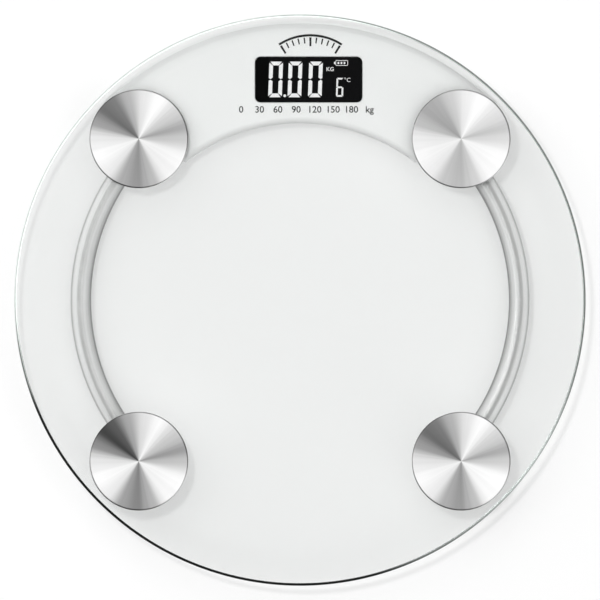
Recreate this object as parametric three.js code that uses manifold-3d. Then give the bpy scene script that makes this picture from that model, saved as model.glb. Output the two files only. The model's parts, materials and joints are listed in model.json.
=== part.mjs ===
// A round bathroom scale: a tempered glass platform on four load-cell feet, a crescent display
// housing between the two front feet, and two side tubes that carry the rear feet's cables.
// Millimetres, +Z up. The origin is on the floor under the middle of the glass, and +Y points
// to the display, which is the front of the scale.

import * as THREE from "three";
import { mergeVertices } from "three/addons/utils/BufferGeometryUtils.js";
import Module from "manifold-3d";

const wasm = await Module();
wasm.setup();

// ---- Clearances ----
const FIT_GAP = 0.3; // between two pieces that touch
const CUT_MARGIN = 1; // how far a cutting tool runs past the face it cuts
const TRAVEL_MARGIN = 0.1; // left over where a moving piece ends its travel

// ---- Glass platform ----
const GLASS_DIAMETER = 330;
const GLASS_THICKNESS = 6;
const GLASS_UNDERSIDE = 21; // floor to the underside of the glass
const GLASS_ARRIS = 1.4; // rounded over at both rims

// ---- Steel caps on top of the glass, over the feet ----
const CAP_DIAMETER = 57;
const CAP_RISE = 2.3; // rim to crown
const CAP_RIM_HEIGHT = 0.5;
const CAP_SHOULDER = 1.5; // width of the rounded rim
const CAP_WALL = 0.6;
const CAP_TAPE_DIAMETER = 46;
const CAP_TAPE_THICKNESS = 0.5;

// ---- Feet ----
const FOOT_EDGE_MARGIN = 33.5; // glass edge to the middle of a foot
const FLOOR_CLEARANCE = 5; // floor to the underside of every housing
const FOOT_HOUSING_DIAMETER = 54;
const FOOT_HOUSING_WALL = 2;
const FOOT_TOP_PLATE = 2;
const FOOT_LIP_THICKNESS = 1.5;
const FOOT_CUP_DIAMETER = 41;
const FOOT_CUP_WALL = 2;
const FOOT_CUP_CLEARANCE = 0.8; // cup wall to the housing's opening, all round
const FOOT_FLANGE_OVERLAP = 1.2; // how far the flange reaches over the lip
const FOOT_FLANGE_THICKNESS = 1.4;
const FOOT_BOSS_DIAMETER = 10;
const FOOT_TRAVEL = 0.3;
const PAD_DIAMETER = 36;
const PAD_THICKNESS = 2.4;
const PAD_PROUD = 1.6; // how far the pad stands out under its cup
const PAD_EDGE = 1.2; // chamfer under the pad

// ---- Load cells ----
const CELL_PLATE = 34;
const CELL_PLATE_THICKNESS = 2;
const CELL_CORNER = 3;
const CELL_UNDERSIDE = 11; // floor to the underside of the plate
const TONGUE_WIDTH = 12;
const TONGUE_LENGTH = 18.4;
const TONGUE_SLOT = 1.6;
const GAUGE_SIZE = [8, 5, 0.4];
const CRADLE_SEAT = 3; // width of each rail that the plate bears on
const CRADLE_GUIDE = 1.5;
const CRADLE_GUIDE_LENGTH = 16;

// ---- Side tubes and cables ----
const TUBE_DIAMETER = 12;
const TUBE_WALL = 1;
const TUBE_INSET = 4.5; // the tube's line lies this much nearer the middle than the feet do
const TUBE_ENTRY = 1.3; // how far a tube's end shows inside the foot housing's wall
const TUBE_DROP = 1.5; // top plate's upper face to the tube
const CABLE_DIAMETER = 1.8;
const CABLE_PITCH = 2.2; // from the rear foot's cable to the front foot's, one above the other
const CABLE_OVER_CELL = 0.4;
const PASSAGE_DIAMETER = 4.8;
const LEAD_DIAMETER = 1.2;

// ---- Display housing ----
const HOUSING_EDGE_MARGIN = 3.5; // glass edge to the housing's outer edge
const HOUSING_DEPTH = 59; // from the outer edge to the inner one, at the middle
const INNER_ARC_SHIFT = 7; // the inner edge's centre lies this far behind the glass's centre
const INNER_ARC_END = 52.5; // degrees from +X, about that centre
const HOUSING_WALL = 2;
const HOUSING_TOP_WALL = 2.4;
const HOUSING_BEVEL = 5;
const COVER_PLATE = 2;
const COVER_HEIGHT = 3;
const COVER_LIP = 1.2;
const COVER_LIP_HEIGHT = 3;
const COVER_EDGE = 1.5;

// ---- Display ----
const DISPLAY_SHIFT_X = 5; // the window sits a little to the right of the middle
const DISPLAY_BEHIND_EDGE = 34.1; // housing's outer edge to the middle of the window
const WINDOW_SIZE = [61.9, 26.3, 1.4];
const WINDOW_CORNER = 3.2;
const WINDOW_LEDGE = 2.6; // how much of the window's edge rests on the housing
const LCD_SIZE = [58, 24.6, 2.3];
const BACKLIGHT_SIZE = [54, 17, 1.2];
const CONNECTOR_WIDTH = 2;
const CONNECTOR_OFFSET = 10.8;
const BOARD_SIZE = [68, 32, 1.6];
const BOARD_SCREW_SPACING = [63, 26];
const BOARD_SCREW_RADIUS = 1;
const BOARD_BOSS_RADIUS = 2.3;
const BLOB_RADIUS = 6;
const BLOB_HEIGHT = 1.4;

// ---- Unit button and its switch ----
const BUTTON_SHIFT = [-20, -7.5]; // from the middle of the window
const BUTTON_DIAMETER = 4.8;
const BUTTON_FLANGE = 1.6;
const BUTTON_FLANGE_THICKNESS = 0.8;
const BUTTON_RECESS = 0.4;
const BUTTON_DISH = [6, 0.6]; // radius and depth of the finger dish around it
const BUTTON_TRAVEL = 0.8;
const SWITCH_SIZE = [6, 6, 1.8];
const SWITCH_PLUNGER = [1.6, 0.6];

// ---- Battery compartment ----
const COIN_DIAMETER = 20;
const COIN_THICKNESS = 3.2;
const COIN_STEP = [1.2, 0.6]; // the narrower upper face's inset and height
const WELL_WALL = 2.2;
const WELL_CEILING = 1.2;
const WELL_TO_BOARD = 1.6;
const DOOR_BEYOND_COIN = [7, 10]; // how much wider and longer the door is than the cell
const DOOR_THICKNESS = 1.6;
const DOOR_TO_EDGE = 8.5; // door frame to the housing's outer edge
const DOOR_NAIL = [9, 1.6, 0.7]; // the fingernail's notch: width, depth, height
const DOOR_PIN_LENGTH = 1.4;
const DOOR_TO_COIN = 0.7;
const DOOR_FRAME = 2;
const CONTACT_THICKNESS = 0.6;
const CONTACT_WIDTH = 5;
const CONTACT_TAIL = 1.2; // how far a tail stands above the well

// ---- Screws ----
const SCREW_HEAD_RADIUS = 2.6;
const SCREW_HEAD_HEIGHT = 1.6;
const SCREW_SHANK_RADIUS = 1.3;
const SCREW_LENGTH = 8;
const SCREW_SUNK = 0.6; // head's face above the cover's underside
const SCREW_BOSS_RADIUS = 3.2;
const SCREW_PILLAR_HEIGHT = 4.5;
const BOARD_SCREW_LENGTH = 4.5;

// ---- Roundness ----
const ROUND_LARGE = 64;
const ROUND_MEDIUM = 24;
const ROUND_FOOT = 24;
const TUBE_STEPS = 14;
const TUBE_SIDES = 12;
const CABLE_SIDES = 8;
const CABLE_STEPS = 26;
const ROUND_SMALL = 12;
const ROUND_PROFILE = 2; // steps in a profile's quarter round
const ARC_STEPS = 12;

// ---- Worked-out places ----
const glassRadius = GLASS_DIAMETER / 2;
const glassTop = GLASS_UNDERSIDE + GLASS_THICKNESS;
const footCircle = glassRadius - FOOT_EDGE_MARGIN;
const footOffset = footCircle * Math.SQRT1_2;
const housingTop = GLASS_UNDERSIDE - FIT_GAP;
const footHousingRadius = FOOT_HOUSING_DIAMETER / 2;
const footInnerRadius = footHousingRadius - FOOT_HOUSING_WALL;
const footCavityTop = housingTop - FOOT_TOP_PLATE;
const lipTop = FLOOR_CLEARANCE + FOOT_LIP_THICKNESS;
const cellTop = CELL_UNDERSIDE + CELL_PLATE_THICKNESS;

const tubeRadius = TUBE_DIAMETER / 2;
const tubePath = footCircle - TUBE_INSET;
const tubeHeight = housingTop - TUBE_DROP - FIT_GAP - tubeRadius;
const rearCableHeight = cellTop + GAUGE_SIZE[2] + CABLE_OVER_CELL + CABLE_DIAMETER / 2;
const passageHeight = rearCableHeight + CABLE_PITCH / 2;

const housingRadius = glassRadius - HOUSING_EDGE_MARGIN;
const innerArcRadius = housingRadius - HOUSING_DEPTH + INNER_ARC_SHIFT;
const coverTop = FLOOR_CLEARANCE + COVER_HEIGHT;
const coverFloor = FLOOR_CLEARANCE + COVER_PLATE;
const housingCeiling = housingTop - HOUSING_TOP_WALL;

const display = new THREE.Vector2(DISPLAY_SHIFT_X, housingRadius - DISPLAY_BEHIND_EDGE);
const windowUnderside = housingTop - WINDOW_SIZE[2];
const lcdTop = housingCeiling - FIT_GAP;
const lcdUnderside = lcdTop - LCD_SIZE[2];
const boardTop = lcdUnderside - 2 * FIT_GAP - BACKLIGHT_SIZE[2];
const boardUnderside = boardTop - BOARD_SIZE[2];
const button = new THREE.Vector2(display.x + BUTTON_SHIFT[0], display.y + BUTTON_SHIFT[1]);
const switchUnderside = boardUnderside - FIT_GAP - SWITCH_SIZE[2];
const plungerTip = switchUnderside - SWITCH_PLUNGER[1];

const doorWidth = COIN_DIAMETER + DOOR_BEYOND_COIN[0];
const doorLength = COIN_DIAMETER + DOOR_BEYOND_COIN[1];
const doorTop = FLOOR_CLEARANCE + DOOR_THICKNESS;
const coinUnderside = doorTop + DOOR_TO_COIN;
const contactUnderside = coinUnderside + COIN_THICKNESS + FIT_GAP;
const wellCeiling = contactUnderside + CONTACT_THICKNESS + FIT_GAP;
const wellTop = wellCeiling + WELL_CEILING;
const wellRadius = COIN_DIAMETER / 2 + FIT_GAP;
const hingeRadius = DOOR_THICKNESS / 2;
const coinCircle = housingRadius - DOOR_TO_EDGE - DOOR_FRAME - doorLength / 2;
const coinX = display.x + BOARD_SIZE[0] / 2 + WELL_TO_BOARD + WELL_WALL + wellRadius;
const coinAngle = Math.acos(coinX / coinCircle);

// ---- Finishes ----
function finish(color, roughness, metalness) {
  return new THREE.MeshStandardMaterial({ color, roughness, metalness });
}
const finishes = {
  glass: finish(0xeef1f0, 0.05, 0),
  steel: finish(0xb8b8b8, 0.3, 1),
  tape: finish(0xf2f2ee, 0.8, 0),
  whitePlastic: finish(0xf0f0f0, 0.45, 0),
  rubber: finish(0xd9d9d6, 0.85, 0),
  tube: finish(0xc9c9c9, 0.3, 1),
  springSteel: finish(0x9b9b98, 0.45, 1),
  cable: finish(0xe6e6e6, 0.6, 0),
  window: finish(0x080808, 0.1, 0),
  lcd: finish(0x16181a, 0.15, 0),
  lightGuide: finish(0xf5f7fa, 0.3, 0),
  connector: finish(0xb9476b, 0.7, 0),
  board: finish(0x1f6b3a, 0.5, 0),
  epoxy: finish(0x101010, 0.35, 0),
  button: finish(0x8f9296, 0.5, 0),
  coin: finish(0xc4c4c2, 0.25, 1),
  contact: finish(0xcfcabb, 0.35, 1),
  redLead: finish(0xb82020, 0.5, 0),
  blackLead: finish(0x1a1a1a, 0.5, 0),
  screw: finish(0x8c8c8a, 0.4, 1),
};

// ---- Shape helpers ----
// Joins the corners that triangles share, so that the surface is closed, and drops the
// flat slivers that a pole or a seam leaves. A sweep that comes out inside out is turned.
function weld(geometry) {
  const bare = new THREE.BufferGeometry();
  bare.setAttribute("position", geometry.getAttribute("position").clone());
  bare.setIndex(geometry.index);
  const welded = mergeVertices(bare, 1e-4);
  const corners = welded.index.array;
  const points = welded.getAttribute("position");
  const kept = [];
  let volume = 0;
  const [a, b, c] = [new THREE.Vector3(), new THREE.Vector3(), new THREE.Vector3()];
  for (let i = 0; i < corners.length; i += 3) {
    const [p, q, r] = corners.slice(i, i + 3);
    if (p === q || q === r || r === p) continue;
    kept.push(p, q, r);
    a.fromBufferAttribute(points, p);
    b.fromBufferAttribute(points, q);
    c.fromBufferAttribute(points, r);
    volume += a.dot(b.cross(c));
  }
  welded.setIndex(volume < 0 ? kept.reverse() : kept);
  return welded;
}

function solid(geometry) {
  const welded = weld(geometry);
  return new wasm.Manifold(new wasm.Mesh({
    numProp: 3,
    vertProperties: new Float32Array(welded.getAttribute("position").array),
    triVerts: new Uint32Array(welded.index.array),
  }));
}

function surface(manifold) {
  const mesh = manifold.getMesh();
  const geometry = new THREE.BufferGeometry();
  geometry.setAttribute("position", new THREE.BufferAttribute(mesh.vertProperties, 3));
  geometry.setIndex(new THREE.BufferAttribute(mesh.triVerts, 1));
  return geometry;
}

// Turns a profile of [radius, height] points about Z. It runs anticlockwise, so the outer
// wall goes up.
function revolve(profile, segments) {
  const points = profile.map(([radius, height]) => new THREE.Vector2(radius, height));
  return new THREE.LatheGeometry(points, segments).rotateX(Math.PI / 2);
}

// Points along a quarter of an ellipse, for a profile: angles are in quarter turns from +radius.
function quarter(radius, height, across, rise, firstTurn) {
  const points = [];
  for (let step = 0; step <= ROUND_PROFILE; step += 1) {
    const angle = (firstTurn + step / ROUND_PROFILE) * Math.PI / 2;
    points.push([radius + across * Math.cos(angle), height + rise * Math.sin(angle)]);
  }
  return points;
}

function cylinder(radius, bottom, top, segments) {
  return revolve([[0, bottom], [radius, bottom], [radius, top], [0, top]], segments);
}

function box(width, depth, bottom, top) {
  return new THREE.BoxGeometry(width, depth, top - bottom).translate(0, 0, (bottom + top) / 2);
}

function prism(shape, bottom, top, curveSegments) {
  const options = { depth: top - bottom, bevelEnabled: false, curveSegments };
  return new THREE.ExtrudeGeometry(shape, options).translate(0, 0, bottom);
}

function roundedRectangle(width, height, radius) {
  const shape = new THREE.Shape();
  const [x, y] = [width / 2 - radius, height / 2 - radius];
  shape.absarc(x, y, radius, 0, Math.PI / 2);
  shape.absarc(-x, y, radius, Math.PI / 2, Math.PI);
  shape.absarc(-x, -y, radius, Math.PI, Math.PI * 1.5);
  shape.absarc(x, -y, radius, Math.PI * 1.5, Math.PI * 2);
  shape.closePath();
  return shape;
}

function circle(radius) {
  const shape = new THREE.Shape();
  shape.absarc(0, 0, radius, 0, Math.PI * 2);
  return shape;
}

// A level arc about the scale's middle. Angles are counted from +Y towards one side, and
// side is -1 on the left and 1 on the right.
class SideArc extends THREE.Curve {
  constructor(side, radius, start, end, height) {
    super();
    Object.assign(this, { side, radius, start, end, height });
  }

  getPoint(t, target = new THREE.Vector3()) {
    const angle = THREE.MathUtils.lerp(this.start, this.end, t);
    const x = this.side * this.radius * Math.sin(angle);
    return target.set(x, this.radius * Math.cos(angle), this.height);
  }
}

// A round section is one curve, which gets two sides for each curve segment.
function sweep(path, shape, steps, sectionSides) {
  const curveSegments = sectionSides / 2;
  return new THREE.ExtrudeGeometry(shape, { extrudePath: path, steps, curveSegments });
}

const scale = new THREE.Group();

function place(name, shape, material, parent = scale) {
  const geometry = shape instanceof THREE.BufferGeometry ? weld(shape) : surface(shape);
  geometry.computeVertexNormals();
  const mesh = new THREE.Mesh(geometry, material);
  mesh.name = name;
  parent.add(mesh);
  return mesh;
}

// ---- Glass platform ----
const arrisRadius = glassRadius - GLASS_ARRIS;
const glassProfile = [
  [0, GLASS_UNDERSIDE],
  ...quarter(arrisRadius, GLASS_UNDERSIDE + GLASS_ARRIS, GLASS_ARRIS, GLASS_ARRIS, -1),
  ...quarter(arrisRadius, glassTop - GLASS_ARRIS, GLASS_ARRIS, GLASS_ARRIS, 0),
  [0, glassTop],
];
place("glass_platform", revolve(glassProfile, ROUND_LARGE), finishes.glass);

// ---- Side tubes, and the tools that cut their holes ----
// The angle at the middle of the glass from a foot's centre to where an arc of this radius
// is the given distance from that centre.
function angleFromFoot(arcRadius, distance) {
  const cosine = (arcRadius ** 2 + footCircle ** 2 - distance ** 2) / (2 * arcRadius * footCircle);
  return Math.acos(cosine);
}

const frontFootAngle = Math.PI / 4;
const rearFootAngle = Math.PI * 0.75;
const tubeEndAngle = angleFromFoot(tubePath, footInnerRadius - TUBE_ENTRY);

function tubeArc(side, overrun) {
  const start = frontFootAngle + tubeEndAngle - overrun;
  return new SideArc(side, tubePath, start, rearFootAngle - tubeEndAngle + overrun, tubeHeight);
}

function tubeCutter(side) {
  const overrun = CUT_MARGIN / tubePath;
  return sweep(tubeArc(side, overrun), circle(tubeRadius + FIT_GAP), TUBE_STEPS, TUBE_SIDES);
}

function passageCutter(side) {
  const inside = angleFromFoot(tubePath, footInnerRadius - CUT_MARGIN);
  const outside = angleFromFoot(tubePath, footHousingRadius + FIT_GAP + HOUSING_WALL + CUT_MARGIN);
  const arc = new SideArc(side, tubePath, frontFootAngle - inside, frontFootAngle - outside, passageHeight);
  return sweep(arc, circle(PASSAGE_DIAMETER / 2), 2, CABLE_SIDES);
}

const sides = [["left", -1], ["right", 1]];
for (const [sideName, side] of sides) {
  const section = circle(tubeRadius);
  section.holes.push(circle(tubeRadius - TUBE_WALL));
  place(`side_tube_${sideName}`, sweep(tubeArc(side, 0), section, TUBE_STEPS, TUBE_SIDES), finishes.tube);
}

// ---- Feet: each is built about its own axis, with +X towards its side tube ----
const capRim = glassTop + FIT_GAP;
const capCrown = capRim + CAP_RISE;
const capRadius = CAP_DIAMETER / 2;
const capSlopeEnd = capRadius - CAP_SHOULDER;
const capRimTop = capRim + CAP_RIM_HEIGHT;
const capShoulderTop = capRimTop + CAP_SHOULDER / 2;

function capShape() {
  return revolve([
    [0, capCrown - CAP_WALL],
    [capSlopeEnd - CAP_WALL / 2, capShoulderTop - CAP_WALL],
    [capRadius - CAP_WALL, capRim + CAP_RIM_HEIGHT / 2],
    [capRadius - CAP_WALL, capRim],
    [capRadius, capRim],
    ...quarter(capSlopeEnd, capRimTop, CAP_SHOULDER, CAP_SHOULDER / 2, 0),
    [0, capCrown],
  ], ROUND_MEDIUM);
}

function capTape() {
  return cylinder(CAP_TAPE_DIAMETER / 2, capRim, capRim + CAP_TAPE_THICKNESS, ROUND_FOOT);
}

const footOpening = FOOT_CUP_DIAMETER / 2 + FOOT_CUP_CLEARANCE;

function footHousing(foot, footFrame) {
  const shell = solid(revolve([
    [0, footCavityTop],
    [footInnerRadius, footCavityTop],
    [footInnerRadius, lipTop],
    [footOpening, lipTop],
    [footOpening, FLOOR_CLEARANCE],
    [footHousingRadius - COVER_EDGE, FLOOR_CLEARANCE],
    [footHousingRadius, FLOOR_CLEARANCE + COVER_EDGE],
    [footHousingRadius, housingTop],
    [0, housingTop],
  ], ROUND_MEDIUM));
  const toFoot = footFrame.clone().invert();
  let housing = shell;
  const seatBottom = cellTop + FIT_GAP;
  for (const edge of [-1, 1]) {
    const seat = box(CELL_PLATE, CRADLE_SEAT, seatBottom, footCavityTop + CUT_MARGIN);
    seat.translate(0, edge * (CELL_PLATE - CRADLE_SEAT) / 2, 0);
    const guideBottom = CELL_UNDERSIDE;
    const guide = box(CRADLE_GUIDE_LENGTH, CRADLE_GUIDE, guideBottom, footCavityTop + CUT_MARGIN);
    guide.translate(0, edge * ((CELL_PLATE + CRADLE_GUIDE) / 2 + FIT_GAP), 0);
    housing = housing.add(solid(seat)).add(solid(guide));
  }
  housing = housing.subtract(solid(tubeCutter(foot.side).applyMatrix4(toFoot)));
  if (foot.front) {
    housing = housing.subtract(solid(passageCutter(foot.side).applyMatrix4(toFoot)));
  }
  return housing;
}

function loadCell() {
  const plate = roundedRectangle(CELL_PLATE, CELL_PLATE, CELL_CORNER);
  const [inner, outer] = [TONGUE_WIDTH / 2, TONGUE_WIDTH / 2 + TONGUE_SLOT];
  const [root, tip] = [TONGUE_LENGTH / 2, -TONGUE_LENGTH / 2];
  plate.holes.push(new THREE.Path([
    new THREE.Vector2(-outer, root),
    new THREE.Vector2(-outer, tip - TONGUE_SLOT),
    new THREE.Vector2(outer, tip - TONGUE_SLOT),
    new THREE.Vector2(outer, root),
    new THREE.Vector2(inner, root),
    new THREE.Vector2(inner, tip),
    new THREE.Vector2(-inner, tip),
    new THREE.Vector2(-inner, root),
  ]));
  const gauge = box(GAUGE_SIZE[0], GAUGE_SIZE[1], cellTop - CUT_MARGIN, cellTop + GAUGE_SIZE[2]);
  gauge.translate(0, CELL_PLATE / 2 - CRADLE_SEAT - FIT_GAP - GAUGE_SIZE[1] / 2, 0);
  return solid(prism(plate, CELL_UNDERSIDE, cellTop, 2)).add(solid(gauge));
}

const padCeiling = PAD_THICKNESS + FIT_GAP;
const flangeUnderside = lipTop + FIT_GAP;
const flangeTop = flangeUnderside + FOOT_FLANGE_THICKNESS;

function footCup() {
  const outer = FOOT_CUP_DIAMETER / 2;
  const recess = PAD_DIAMETER / 2 + FIT_GAP;
  const flange = footOpening + FOOT_FLANGE_OVERLAP;
  const boss = FOOT_BOSS_DIAMETER / 2;
  const bossTop = CELL_UNDERSIDE - FOOT_TRAVEL - TRAVEL_MARGIN;
  return revolve([
    [0, padCeiling],
    [recess, padCeiling],
    [recess, PAD_PROUD],
    [outer, PAD_PROUD],
    [outer, flangeUnderside],
    [flange, flangeUnderside],
    [flange, flangeTop],
    [outer - FOOT_CUP_WALL, flangeTop],
    [outer - FOOT_CUP_WALL, padCeiling + FOOT_CUP_WALL],
    [boss, padCeiling + FOOT_CUP_WALL],
    [boss, bossTop],
    [0, bossTop],
  ], ROUND_FOOT);
}

function footPad() {
  const radius = PAD_DIAMETER / 2;
  return revolve([
    [0, 0], [radius - PAD_EDGE, 0], [radius, PAD_EDGE], [radius, PAD_THICKNESS], [0, PAD_THICKNESS],
  ], ROUND_FOOT);
}

const feet = [];
for (const [sideName, side] of sides) {
  feet.push({ name: `front_${sideName}`, side, front: true });
  feet.push({ name: `rear_${sideName}`, side, front: false });
}
for (const foot of feet) {
  const forward = foot.front ? 1 : -1;
  const assembly = new THREE.Group();
  assembly.position.set(foot.side * footOffset, forward * footOffset, 0);
  assembly.rotation.z = Math.atan2(-forward, foot.side);
  assembly.updateMatrix();
  scale.add(assembly);
  place(`cap_${foot.name}`, capShape(), finishes.steel, assembly);
  place(`cap_tape_${foot.name}`, capTape(), finishes.tape, assembly);
  const housing = footHousing(foot, assembly.matrix);
  place(`foot_housing_${foot.name}`, housing, finishes.whitePlastic, assembly);
  place(`load_cell_${foot.name}`, loadCell(), finishes.springSteel, assembly);
  place(`foot_cup_${foot.name}`, footCup(), finishes.whitePlastic, assembly);
  place(`foot_pad_${foot.name}`, footPad(), finishes.rubber, assembly);
}

// ---- Sensor cables: from each load cell, along the tube's line, to the board's near edge ----
for (const [sideName, side] of sides) {
  const boardEdge = Math.abs(side * BOARD_SIZE[0] / 2 + display.x) + CABLE_DIAMETER;
  const end = Math.asin(boardEdge / tubePath);
  const wire = circle(CABLE_DIAMETER / 2);
  const rear = new SideArc(side, tubePath, rearFootAngle, end, rearCableHeight);
  place(`sensor_cable_rear_${sideName}`, sweep(rear, wire, CABLE_STEPS, CABLE_SIDES), finishes.cable);
  const front = new SideArc(side, tubePath, frontFootAngle, end, rearCableHeight + CABLE_PITCH);
  place(`sensor_cable_front_${sideName}`, sweep(front, wire, CABLE_STEPS / 2, CABLE_SIDES), finishes.cable);
}

// ---- Crescent outline, shared by the housing, its cover and their hollows ----
// The outline runs past the outer edge, where a turned disc trims it. Its ends go to the
// feet's centres, where a round clearance for each foot housing is cut out.
function crescentShape(inset) {
  const shape = new THREE.Shape();
  const end = THREE.MathUtils.degToRad(INNER_ARC_END);
  const reach = glassRadius * Math.SQRT1_2;
  shape.moveTo(footOffset, footOffset);
  shape.lineTo(reach, reach);
  shape.absarc(0, 0, glassRadius, Math.PI / 4, Math.PI * 0.75, false);
  shape.lineTo(-footOffset, footOffset);
  shape.absarc(0, -INNER_ARC_SHIFT, innerArcRadius + inset, Math.PI - end, end, true);
  shape.closePath();
  return shape;
}

function crescent(inset, bottom, top, rimProfile) {
  const block = solid(prism(crescentShape(inset), bottom, top, ARC_STEPS));
  let body = block.intersect(solid(revolve(rimProfile, ROUND_LARGE)));
  const clearance = footHousingRadius + FIT_GAP + inset;
  for (const [, side] of sides) {
    const around = cylinder(clearance, bottom - CUT_MARGIN, top + CUT_MARGIN, ROUND_MEDIUM);
    body = body.subtract(solid(around.translate(side * footOffset, footOffset, 0)));
  }
  return body;
}

// A disc's profile from bottom to top, with an edge chamfer at either rim.
function discProfile(radius, bottom, top, lowerEdge, upperEdge) {
  return [
    [0, bottom],
    [radius - lowerEdge, bottom],
    ...(lowerEdge > 0 ? [[radius, bottom + lowerEdge]] : []),
    ...(upperEdge > 0 ? [[radius, top - upperEdge]] : []),
    [radius - upperEdge, top],
    [0, top],
  ];
}

function atWindow(geometry) {
  return geometry.translate(display.x, display.y, 0);
}

// ---- Screw places ----
const housingScrews = [];
for (const [, side] of sides) {
  for (const [fromEdge, angle] of [[48.5, 72], [10.5, 78], [11.5, 58]]) {
    const radius = housingRadius - fromEdge;
    const turn = THREE.MathUtils.degToRad(angle);
    housingScrews.push([side * radius * Math.cos(turn), radius * Math.sin(turn)]);
  }
}
const boardScrews = [];
for (const across of [-0.5, 0.5]) {
  for (const along of [-0.5, 0.5]) {
    const [x, y] = [across * BOARD_SCREW_SPACING[0], along * BOARD_SCREW_SPACING[1]];
    boardScrews.push([display.x + x, display.y + y]);
  }
}
const headFace = FLOOR_CLEARANCE + SCREW_SUNK;
const headSeat = headFace + SCREW_HEAD_HEIGHT + FIT_GAP;
const pillarTop = FLOOR_CLEARANCE + SCREW_PILLAR_HEIGHT;
const screwTip = headFace + SCREW_HEAD_HEIGHT + SCREW_LENGTH;
const boardScrewHead = boardUnderside - FIT_GAP - SCREW_HEAD_HEIGHT / 2;
const boardScrewTip = boardScrewHead + BOARD_SCREW_LENGTH;

// ---- Display housing: the upper shell, glued under the glass ----
function displayHousing() {
  const bottom = coverTop + FIT_GAP;
  const outer = discProfile(housingRadius, bottom, housingTop, 0, HOUSING_BEVEL);
  const cavityBevel = HOUSING_BEVEL - HOUSING_TOP_WALL + HOUSING_WALL * (Math.SQRT2 - 1);
  const cavityBottom = bottom - CUT_MARGIN;
  const inner = discProfile(housingRadius - HOUSING_WALL, cavityBottom, housingCeiling, 0, cavityBevel);
  let shell = crescent(0, bottom, housingTop, outer);
  shell = shell.subtract(crescent(HOUSING_WALL, cavityBottom, housingCeiling, inner));
  for (const [x, y] of housingScrews) {
    const boss = cylinder(SCREW_BOSS_RADIUS, pillarTop + FIT_GAP, housingCeiling + CUT_MARGIN, ROUND_SMALL);
    const pilot = cylinder(SCREW_SHANK_RADIUS + FIT_GAP, pillarTop, screwTip + FIT_GAP, ROUND_SMALL);
    shell = shell.add(solid(boss.translate(x, y, 0))).subtract(solid(pilot.translate(x, y, 0)));
  }
  for (const [x, y] of boardScrews) {
    const boss = cylinder(BOARD_BOSS_RADIUS, boardTop + FIT_GAP, housingCeiling + CUT_MARGIN, ROUND_SMALL);
    const pilot = cylinder(BOARD_SCREW_RADIUS + FIT_GAP, boardTop, boardScrewTip + FIT_GAP, ROUND_SMALL);
    shell = shell.add(solid(boss.translate(x, y, 0))).subtract(solid(pilot.translate(x, y, 0)));
  }
  const [width, height] = WINDOW_SIZE;
  const seat = roundedRectangle(width + 2 * FIT_GAP, height + 2 * FIT_GAP, WINDOW_CORNER + FIT_GAP);
  const view = roundedRectangle(width - 2 * WINDOW_LEDGE, height - 2 * WINDOW_LEDGE, 1);
  const seatCut = prism(seat, windowUnderside - FIT_GAP, housingTop + CUT_MARGIN, 3);
  const viewCut = prism(view, housingCeiling - CUT_MARGIN, housingTop, 2);
  shell = shell.subtract(solid(atWindow(seatCut))).subtract(solid(atWindow(viewCut)));
  for (const [, side] of sides) shell = shell.subtract(solid(passageCutter(side)));
  return shell;
}
place("display_housing", displayHousing(), finishes.whitePlastic);

// ---- Battery compartment: built about the coin cell's axis, with +Y towards the edge ----
const compartment = new THREE.Group();
compartment.position.set(coinCircle * Math.cos(coinAngle), coinCircle * Math.sin(coinAngle), 0);
compartment.rotation.z = coinAngle - Math.PI / 2;
compartment.updateMatrix();
scale.add(compartment);
const hingeLine = hingeRadius - doorLength / 2;
const hingeHeight = FLOOR_CLEARANCE + hingeRadius;
const clipRadius = wellRadius + FIT_GAP;

function hingeBar(radius, length) {
  const bar = new THREE.CylinderGeometry(radius, radius, length, 8).rotateZ(Math.PI / 2);
  return bar.translate(0, hingeLine, hingeHeight);
}

// What the compartment adds to the cover's plate, and what it takes away.
function compartmentWalls() {
  const frameTop = doorTop + FIT_GAP + DOOR_FRAME;
  const insidePlate = FLOOR_CLEARANCE + COVER_PLATE / 2;
  const frame = box(doorWidth + 2 * DOOR_FRAME, doorLength + 2 * DOOR_FRAME, insidePlate, frameTop);
  const well = cylinder(wellRadius + WELL_WALL, insidePlate, wellTop, ROUND_FOOT);
  return solid(frame).add(solid(well));
}

function compartmentHollow() {
  const under = FLOOR_CLEARANCE - CUT_MARGIN;
  const opening = box(doorWidth + 2 * FIT_GAP, doorLength + 2 * FIT_GAP, under, doorTop + FIT_GAP);
  const well = cylinder(wellRadius, under, wellCeiling, ROUND_FOOT);
  const cutTop = wellTop + CUT_MARGIN;
  const cutWidth = CONTACT_WIDTH + 2 * FIT_GAP;
  const pocketDepth = 2 * FIT_GAP + CONTACT_THICKNESS + CUT_MARGIN;
  const pocket = box(cutWidth, pocketDepth, coinUnderside - FIT_GAP, cutTop);
  pocket.translate(0, clipRadius + FIT_GAP + CONTACT_THICKNESS - pocketDepth / 2, 0);
  const slotDepth = CONTACT_THICKNESS + 2 * FIT_GAP;
  const slot = box(cutWidth, slotDepth, wellCeiling - CUT_MARGIN, cutTop);
  slot.translate(0, -CONTACT_WIDTH, 0);
  const notch = hingeBar(hingeRadius + FIT_GAP, doorWidth + 2 * (DOOR_PIN_LENGTH + FIT_GAP));
  return solid(opening).add(solid(well)).add(solid(pocket)).add(solid(slot)).add(solid(notch));
}

function batteryDoor() {
  const panel = box(doorWidth, doorLength - hingeRadius, FLOOR_CLEARANCE, doorTop);
  panel.translate(0, hingeRadius / 2, 0);
  const [nailWidth, nailDepth, nailHeight] = DOOR_NAIL;
  const nail = box(nailWidth, nailDepth, FLOOR_CLEARANCE - CUT_MARGIN, FLOOR_CLEARANCE + nailHeight);
  nail.translate(0, (doorLength - nailDepth) / 2, 0);
  const edge = hingeBar(hingeRadius, doorWidth + 2 * DOOR_PIN_LENGTH);
  return solid(panel).add(solid(edge)).subtract(solid(nail));
}

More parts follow.
